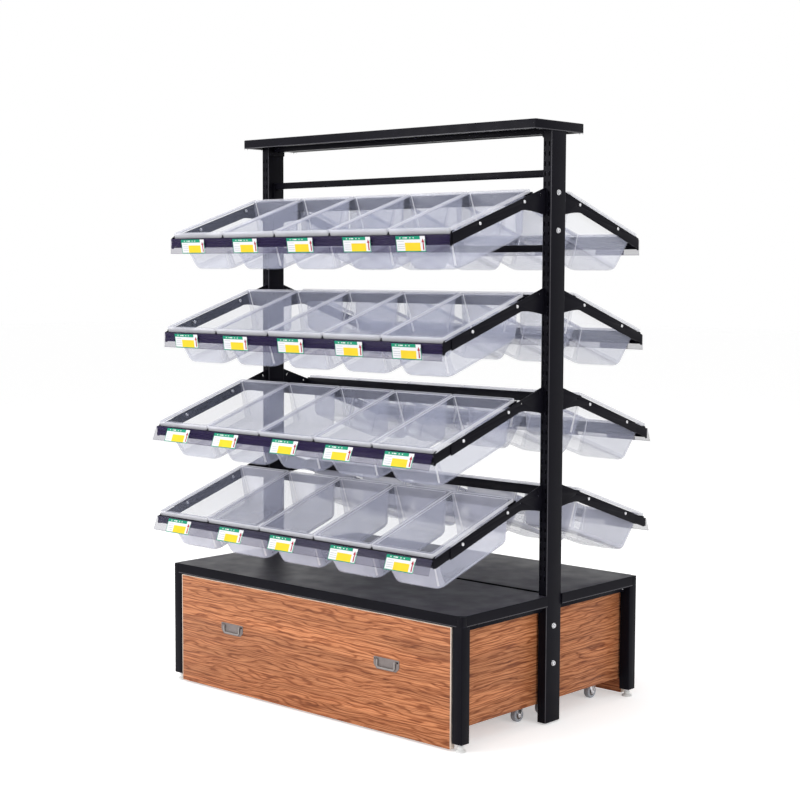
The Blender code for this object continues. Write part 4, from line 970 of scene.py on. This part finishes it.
def bin_rings(sizes):
    """(inset from the rim's outer edge, height h, corner radius) of each ring: outside from the floor up the drafted
    wall, round flange, skirt and bead, and down the inside to the floor."""
    under, inner = BIN_UNDER_H, BIN_FLANGE + sizes.bin_wall
    turn = np.radians(np.linspace(0, 90, 6))

    def wall(turns, inset, floor, fillet):
        """The drafted wall where it rounds into the floor: in by fillet (1 - sin a) and up by fillet (1 - cos a)."""
        rings = []
        for a in turns:
            h = floor + fillet * (1 - np.cos(a))
            corner = 8 + 16 * (under - h) / (under - BIN_FLOOR_H) - 6 * (1 - np.sin(a))
            rings.append((inset + (under - h) * BIN_DRAFT + fillet * (1 - np.sin(a)), h, corner))
        return rings

    rim = [(BIN_FLANGE + 0.25, under - 1, 8), (BIN_FLANGE - 0.6, under, 8), (2.3, under, 6), (1.9, under - 0.4, 6),
           (1.6, 4.3, 6.2), (1.3, 4, 6.4), (0.3, 4, 7.6), (0, 4.3, 8), (0, 12.2, 8), (0.25, 12.8, 7.8), (0.8, 13, 7.4),
           (2.0, 13, 6.6), (2.5, 12.8, 6.4), (2.8, 12.3, 6.4), (inner - 1.4, 12.3, 8), (inner - 0.5, 12.0, 8),
           (inner, 11.0, 8)]
    return (wall(turn, BIN_FLANGE, BIN_FLOOR_H, sizes.bin_fillet) + rim
            + wall(turn[::-1], inner, BIN_FLOOR_H + sizes.bin_wall, sizes.bin_fillet - sizes.bin_wall))


# The rings at the foot of the skirt, which hang lower along the front
SKIRT_RINGS = range(10, 14)


def bin_shape(tier, side, centre_x, rings):
    """Each ring is a rounded rectangle: four quarter circles about the corners of a smaller rectangle. The skirt's
    foot hangs lower along the front, by a share that grows round the corner arcs."""
    t = np.radians(np.linspace(0, 90, 7))
    sx, ss = np.array([1, 1, -1, -1]), np.array([-1, 1, 1, -1])
    angle = (t[None] + np.radians([-90.0, 0.0, 90.0, 180.0])[:, None])
    placed = []
    for index, (inset, h, radius) in enumerate(rings):
        half_x, half_s = BIN_PITCH / 2 - 0.5 - inset, BIN_HALF_S - inset
        x = (sx * (half_x - radius))[:, None] + radius * np.cos(angle)
        s = (ss * (half_s - radius))[:, None] + radius * np.sin(angle)
        dip = SKIRT_DIPS[tier] * np.clip((s.ravel() - half_s + radius) / radius, 0, 1) * (index in SKIRT_RINGS)
        reach_z = tier_place(tier, s.ravel() + BIN_CENTRE_S, h - dip)
        placed.append(np.column_stack([centre_x + x.ravel(), side * reach_z[:, 0], reach_z[:, 1]]))
    return shell(np.stack(placed))


def bin_kinds():
    """0 clear, 1 painted rim highlight, 2 painted fold shade, 3 flange, 4 side, for each face of a bin, in the
    order that shell makes them. Rows run from ring to ring and columns round them: 7 to 21 are flange, with the rim's
    bead and inner edge inside them painted as highlight, 2 is the fold round the floor, painted darker as shade, and 5
    and 22 are the drafted walls, whose corner lines take the same painted highlight as the rim."""
    kinds = np.zeros((28, 28), int)
    kinds[7:22] = 3
    kinds[12:19] = kinds[20:22] = 1
    kinds[2] = 2
    kinds[np.ix_((5, 22), (6, 20))] = 4
    # Painted highlight lines down the corners of the drafted walls
    kinds[np.ix_((5, 22), (3, 10, 17, 24))] = 1
    return np.concatenate([kinds.ravel(), (0, 0)])


class RACK_OT_cradles(bpy.types.Operator):
    """Makes the arms, cradles, bolts, ticket strips and tickets of all tiers."""
    bl_idname = "rack.cradles"
    bl_label = "Arms, cradles and tickets"

    def execute(self, context):
        sizes = sizes_in_mm(context.scene)
        inks = ("card", "green", "yellow", "rule", "red")
        for tier in range(len(TIER_OFFSETS)):
            arms = arm_shapes(tier, sizes)
            rails = [plate([rail(tier)], -RAIL_HALF_X, RAIL_HALF_X, 0.3, 0) for rail in (front_rail, back_rail)]
            flange = side_flange(tier, sizes)
            strip, bolts = ticket_strip(tier), cradle_bolts(tier)
            tint = "strip_low" if tier == LOWEST else "strip_plastic"
            cards, kinds = [], []
            for index in range(BIN_COUNT):
                for shape, kind in ticket(tier, (index - 2) * BIN_PITCH + TICKET_SHIFTS[tier][index], sizes):
                    cards.append(shape)
                    kinds.append(kind)
            for side_name, side in SIDES.items():
                node = [f"tier_cradle_{side_name}_{tier + 1}"]
                place = f"{side_name}_{tier + 1}"

                def at_side(shapes):
                    """The shapes, worked out on the rear side; the front takes their mirror images in Y."""
                    return [flipped(shape, y=side) for shape in shapes]

                both_arms = arms + [flipped(shape, x=-1.0) for shape in arms]
                make("gusset_arms_" + place, at_side(both_arms), "powder_coat", "rack", node)
                make("bin_cradle_" + place, at_side(rails + [flange, flipped(flange, x=-1.0)]), "powder_coat",
                     "rack", node)
                make("cradle_bolts_" + place, at_side(bolts), "zinc", "rack", node)
                make("ticket_strip_" + place, at_side([strip]), tint, "rack", node)
                tickets = at_side(cards)
                if side > 0:
                    tickets = [flipped(shape, x=-1.0) for shape in tickets]
                make("tickets_" + place, tickets, inks, "rack", kinds=np.concatenate(kinds))
        return {"FINISHED"}


class RACK_OT_bins(bpy.types.Operator):
    """Makes the forty clear bins."""
    bl_idname = "rack.bins"
    bl_label = "Clear bins"

    def execute(self, context):
        rings = bin_rings(sizes_in_mm(context.scene))
        for tier in range(len(TIER_OFFSETS)):
            ends = ("low_plastic", "low_side") if tier == LOWEST else ("clear_plastic", "clear_side")
            # Kind 1 is the painted rim highlight and kind 2 the painted fold shade
            coats = (ends[0], "clear_rim", "clear_fold", "clear_flange", ends[1])
            for index in range(BIN_COUNT):
                name = f"bin_front_{tier + 1}_{index + 1}"
                shape = bin_shape(tier, -1.0, (index - 2) * BIN_PITCH, rings)
                make("clear_" + name, [shape], coats, name, [name], bin_kinds())
            row = [bin_shape(tier, 1.0, (index - 2) * BIN_PITCH, rings) for index in range(BIN_COUNT)]
            name = f"bin_row_rear_{tier + 1}"
            make("clear_" + name, row, coats, name, [name], np.tile(bin_kinds(), BIN_COUNT))
        return {"FINISHED"}


# Stock carts

def pull_plate(centre_x):
    """A plate with clipped lower corners, and an ear with a hole for the bail's pin at each side."""
    low, high = PULL_Z
    half, chamfer, face = 49.0, 12.0, PANEL_Y[1]
    outline = np.array([(-half, high), (-half, low + chamfer), (chamfer - half, low), (half - chamfer, low),
                        (half, low + chamfer), (half, high)])
    outline = anticlockwise(rounded(outline + (centre_x, 0.0), 3.0, 3))
    shapes = [plate([outline], face - 0.2, face + 1.5, 0.7, 1)]
    for sign in SIGNS:
        x = centre_x + sign * PULL_EAR_X
        ear = rounded(rectangle(face, PIVOT[1] - 3, PIVOT[0] + 3, PIVOT[1] + 3), (0.6, 2.6, 2.6, 0.6))
        hole = round_hole(1.6, 12, PIVOT)
        shapes.append(plate([ear, hole], x - 2, x + 2, 0.4, 0))
    return shapes


def pull_bail(centre_x):
    """A U of flat bar with rounded corners, and a pin at the top of each leg."""
    top, low = PIVOT[1] + 1.5, PIVOT[1] - 25
    half, bar = 36.0, 5.0
    outline = np.array([(-half, top), (-half, low + 6), (6 - half, low), (half - 6, low),
                        (half, low + 6), (half, top), (half - bar, top), (half - bar, low + bar + 2.5),
                        (half - bar - 2.5, low + bar), (bar + 2.5 - half, low + bar),
                        (bar - half, low + bar + 2.5), (bar - half, top)])
    radii = np.array([1.4, 4, 4, 4, 4, 1.4, 1.4, 1.5, 1.5, 1.5, 1.5, 1.4])
    outline = anticlockwise(rounded(outline + (centre_x, 0.0), radii, 3))
    shapes = [plate([outline], PIVOT[0] - 1.5, PIVOT[0] + 1.5, 0.9, 1)]
    for sign in SIGNS:
        x = centre_x + sign * BAIL_LEG_X
        pin = [(1.1, -4.3), (1.3, -4.1), (1.3, 2.1), (1.0, 2.3)]
        shapes.append(turned([(r, a * sign) for r, a in pin], (x, *PIVOT), 0, 16))
    return shapes


def caster_fork(x, y):
    """A fixing plate with two tapered cheeks and an axle with domed ends."""
    top = CART_Z[0]
    shapes = [block((x - 14, y - 28, top - 2.5), (x + 14, y + 28, top), 2, 3.0, 0.4)]
    cheek = np.array([(-14, 34), (-7, 19), (-5, 14), (5, 14), (7, 19), (14, 34)])
    cheek = np.concatenate([cheek, [(14, top - 1), (-14, top - 1)]]) + (y, 0.0)
    for sign in SIGNS:
        inner, outer = sorted(x + sign * across for across in CHEEK_X)
        shapes.append(plate([anticlockwise(rounded(cheek, 1.5, 2))], inner, outer, 0.4, 0))
        head = [(4.6, 0.0), (5.0, 0.4), (5.0, 1.6), (4.0, 2.4), (2.0, 2.5)]
        shapes.append(turned([(r, (12 + a) * sign) for r, a in head], (x, y, WHEEL_Z), 0, 16))
    shapes.append(turned([(3.8, -12), (3.8, 12)], (x, y, WHEEL_Z), 0, 16))
    return shapes


def caster_wheel(x, y):
    """A turned tyre with a crowned tread, and a darker hub with a recess on each face."""
    tyre = [(13.0, -8.2), (17.5, -9.0), (19.8, -8.4), (20.8, -6.6), (21.0, -2.5), (21.0, 2.5), (20.8, 6.6),
            (19.8, 8.4), (17.5, 9.0), (13.0, 8.2)]
    hub = [(4.3, -8.8), (6.6, -8.8), (7.2, -7.4), (11.6, -7.0), (12.2, -8.1), (13.2, -8.1), (13.2, 8.1),
           (12.2, 8.1), (11.6, 7.0), (7.2, 7.4), (6.6, 8.8), (4.3, 8.8)]
    return [turned(part, (x, y, WHEEL_Z), 0, 40, closed=True) for part in (tyre, hub)]


class RACK_OT_carts(bpy.types.Operator):
    """Makes the two stock carts: wood, pulls, forks and wheels."""
    bl_idname = "rack.carts"
    bl_label = "Stock carts"

    def execute(self, context):
        sizes = sizes_in_mm(context.scene)
        for side_name, side in SIDES.items():
            body = "cart_" + side_name

            def put(name, shapes, coat, rides, node):
                """An object of shapes worked out on the rear cart; the front takes their mirror images in Y."""
                make(name, [flipped(shape, y=side) for shape in shapes], coat, rides, [node])

            band = sizes.edge_band
            board = block((band - PANEL_HALF_X, PANEL_Y[0], PANEL_Z[0]),
                          (PANEL_HALF_X - band, PANEL_Y[1], PANEL_Z[1] - TOP_BAND), 1, 0.8, 0.6)
            bands = [block((end * (PANEL_HALF_X - band), PANEL_Y[0], PANEL_Z[0]),
                           (end * PANEL_HALF_X, PANEL_Y[1], PANEL_Z[1]), 2, 1.2, 0.5) for end in SIGNS]
            bands.append(block((band - PANEL_HALF_X, PANEL_Y[0], PANEL_Z[1] - TOP_BAND),
                               (PANEL_HALF_X - band, PANEL_Y[1] + 0.1, PANEL_Z[1]), 0, 0.6, 0.3))
            put("wood_panel_" + side_name, [board], "wood", body, "cart_panel_" + side_name)
            put("edge_bands_" + side_name, bands, "edge_band", body, "cart_panel_" + side_name)
            plates = [shape for end in SIGNS for shape in pull_plate(end * PULL_X)]
            put("pull_plates_" + side_name, plates, "pull_plate", body, "cart_panel_" + side_name)
            for name, boards, coat in (("long", self.long_boards(), "wood"), ("end", self.end_boards(), "wood_end")):
                put(f"cart_{name}_boards_{side_name}", boards, coat, body, "cart_box_" + side_name)
            face = PANEL_Y[1] + 1.3
            screw = [(0.4, face), (2.4, face), (2.6, face + 0.6), (1.6, face + 1.0)]
            screws = [turned(screw, (end * PULL_X + sign * PULL_SCREW_X, 0.0, PULL_Z[1] - 6.5), 1, 16)
                      for end in SIGNS for sign in SIGNS]
            put("pull_screws_" + side_name, screws, "powder_coat", body, "cart_panel_" + side_name)
            forks = [shape for end in SIGNS for y in CASTER_Y.values() for shape in caster_fork(end * CASTER_X, y)]
            put("caster_forks_" + side_name, forks, "zinc", body, "cart_box_" + side_name)
            for end_name, end in ENDS.items():
                node = f"pull_bail_{side_name}_{end_name}"
                put("grip_" + node, pull_bail(end * PULL_X), "pull", node, node)
                for place, y in CASTER_Y.items():
                    node = f"wheel_{side_name}_{end_name}_{place}"
                    tyre, hub = caster_wheel(end * CASTER_X, y)
                    put("tyre_" + node, [tyre], "wheel", node, node)
                    put("hub_" + node, [hub], "pull_plate", node, node)
        return {"FINISHED"}

    def long_boards(self):
        """Floor, back and front boards of the open box."""
        x, (y0, y1), (z0, z1) = CART_HALF_X, CART_Y, CART_Z
        made = [block((BOARD - x, y0, z0), (x - BOARD, y1, z0 + BOARD), 0, 0.8, 0.5)]
        made += [block((BOARD - x, y, z0 + BOARD), (x - BOARD, y + BOARD, z1), 0, 0.8, 0.5) for y in (y0, y1 - BOARD)]
        return made

    def end_boards(self):
        """The two end boards of the open box, between which the long ones are butted."""
        x, (y0, y1), (z0, z1) = CART_HALF_X, CART_Y, CART_Z
        return [block((end * (x - BOARD), y0, z0), (end * x, y1, z1), 1, 0.8, 0.5) for end in SIGNS]


# Stage, in metres

CAMERA_PLACE = (3.3416, -3.6988, 1.3055)
CAMERA_TURN = (0.7359, -0.0793, 0.004)
FOCAL_PIXELS = 1605.83
FRAME_PIXELS = 800
SENSOR_MM = 36.0
FLOOR_HALF = 30.0
FLOOR_GLOW = 0.42
SOFT_LIGHT = 0.62
LAMPS_AIM = (0.0, 0.0, 0.8)


def camera_matrix():
    """Turned about Z by yaw, up by pitch and about its own line of sight by roll."""
    yaw, pitch, roll = CAMERA_TURN
    ahead = np.array((-np.sin(yaw), np.cos(yaw), 0.0))
    right = np.array((np.cos(yaw), np.sin(yaw), 0.0))
    up = np.array((0.0, 0.0, 1.0))
    forward = np.cos(pitch) * ahead + np.sin(pitch) * up
    upward = np.cos(pitch) * up - np.sin(pitch) * ahead
    across = np.cos(roll) * right + np.sin(roll) * upward
    above = np.cos(roll) * upward - np.sin(roll) * right
    matrix = Matrix.Identity(4)
    for i in range(3):
        matrix[i] = (across[i], above[i], -forward[i], CAMERA_PLACE[i])
    return matrix


def seen_white(tree):
    """1 for rays that show the background as such: seen, mirrored or through clear plastic."""
    path = shader_node(tree, "LightPath", {})
    most = path.outputs["Is Camera Ray"]
    for name in ("Is Glossy Ray", "Is Transmission Ray"):
        most = shader_node(tree, "Math", {0: most, 1: path.outputs[name]}, operation="MAXIMUM").outputs[0]
    return most


class RACK_OT_stage(bpy.types.Operator):
    """Makes the floor, the soft studio light, the white background and the camera."""
    bl_idname = "rack.stage"
    bl_label = "Studio"

    def execute(self, context):
        scene = context.scene
        self.floor(scene)
        self.world(scene)
        self.lamps(scene)
        camera = bpy.data.objects.new("camera", bpy.data.cameras.new("camera"))
        scene.collection.objects.link(camera)
        camera.matrix_world = camera_matrix()
        camera.data.sensor_width = SENSOR_MM
        camera.data.lens = FOCAL_PIXELS / FRAME_PIXELS * SENSOR_MM
        camera.data.clip_end = 100.0
        scene.camera = camera
        scene.view_settings.view_transform = "Standard"
        scene.cycles.transparent_max_bounces = 64
        return {"FINISHED"}

    def floor(self, scene):
        """A wide flat sheet whose own glow lifts it to white where nothing shades it."""
        mesh = bpy.data.meshes.new("floor")
        corners = rectangle(-FLOOR_HALF, -FLOOR_HALF, FLOOR_HALF, FLOOR_HALF)
        mesh.from_pydata(np.column_stack([corners, np.zeros(4)]), [], [(0, 1, 2, 3)])
        floor = bpy.data.objects.new("floor", mesh)
        scene.collection.objects.link(floor)
        made, tree, entries = new_finish("floor", scene.rack_colours.floor, 0.9)
        entries["Emission Color"].default_value = (1.0, 1.0, 1.0, 1.0)
        glow = shader_node(tree, "Math", {0: seen_white(tree), 1: FLOOR_GLOW}, operation="MULTIPLY")
        feed(tree, entries["Emission Strength"], glow.outputs[0])
        mesh.materials.append(made)

    def world(self, scene):
        """White where it is seen, and a plain soft light elsewhere."""
        world = bpy.data.worlds.new("studio")
        world.use_nodes = True
        scene.world = world
        tree = world.node_tree
        background = tree.nodes["Background"]
        background.inputs["Color"].default_value = (1.0, 1.0, 1.0, 1.0)
        strength = shader_node(tree, "MapRange", {"Value": seen_white(tree), "To Min": SOFT_LIGHT, "To Max": 1.0})
        feed(tree, background.inputs["Strength"], strength.outputs["Result"])

    def lamps(self, scene):
        """Three large soft lamps: above, front left and right."""
        for name, place, size, watts in (("above", (-0.4, -0.8, 4.2), 3.0, 90.0),
                                         ("front_left", (-2.2, -4.6, 2.4), 2.4, 120.0),
                                         ("right", (4.8, -0.6, 2.2), 2.0, 55.0)):
            data = bpy.data.lights.new(name, "AREA")
            data.shape = "SQUARE"
            data.size = size
            data.energy = watts
            lamp = bpy.data.objects.new(name, data)
            scene.collection.objects.link(lamp)
            lamp.location = place
            lamp.rotation_euler = (Vector(place) - Vector(LAMPS_AIM)).to_track_quat("Z", "Y").to_euler()


OPERATORS = (RACK_OT_uprights, RACK_OT_top, RACK_OT_base, RACK_OT_cradles, RACK_OT_bins, RACK_OT_carts, RACK_OT_stage)


class RACK_PT_sidebar(bpy.types.Panel):
    """Lists the rack's operators, sizes and colours."""
    bl_idname = "RACK_PT_sidebar"
    bl_label = "Produce display rack"
    bl_space_type = "VIEW_3D"
    bl_region_type = "UI"
    bl_category = "Rack"

    def draw(self, context):
        """A box of sizes, a box of colours and a button for each operator."""
        for group in (context.scene.rack_sizes, context.scene.rack_colours):
            box = self.layout.box()
            for name in group.bl_rna.properties.keys():
                if name not in ("rna_type", "name"):
                    box.prop(group, name)
        for operator in OPERATORS:
            self.layout.operator(operator.bl_idname)


CLASSES = (RackSizes, RackColours, *OPERATORS, RACK_PT_sidebar)


def register():
    for made in CLASSES:
        bpy.utils.register_class(made)
    bpy.types.Scene.rack_sizes = PointerProperty(type=RackSizes)
    bpy.types.Scene.rack_colours = PointerProperty(type=RackColours)


def unregister():
    del bpy.types.Scene.rack_colours, bpy.types.Scene.rack_sizes
    for made in reversed(CLASSES):
        bpy.utils.unregister_class(made)


def main():
    register()
    for operator in OPERATORS:
        group, name = operator.bl_idname.split(".")
        getattr(getattr(bpy.ops, group), name)()


if __name__ == "__main__":
    main()
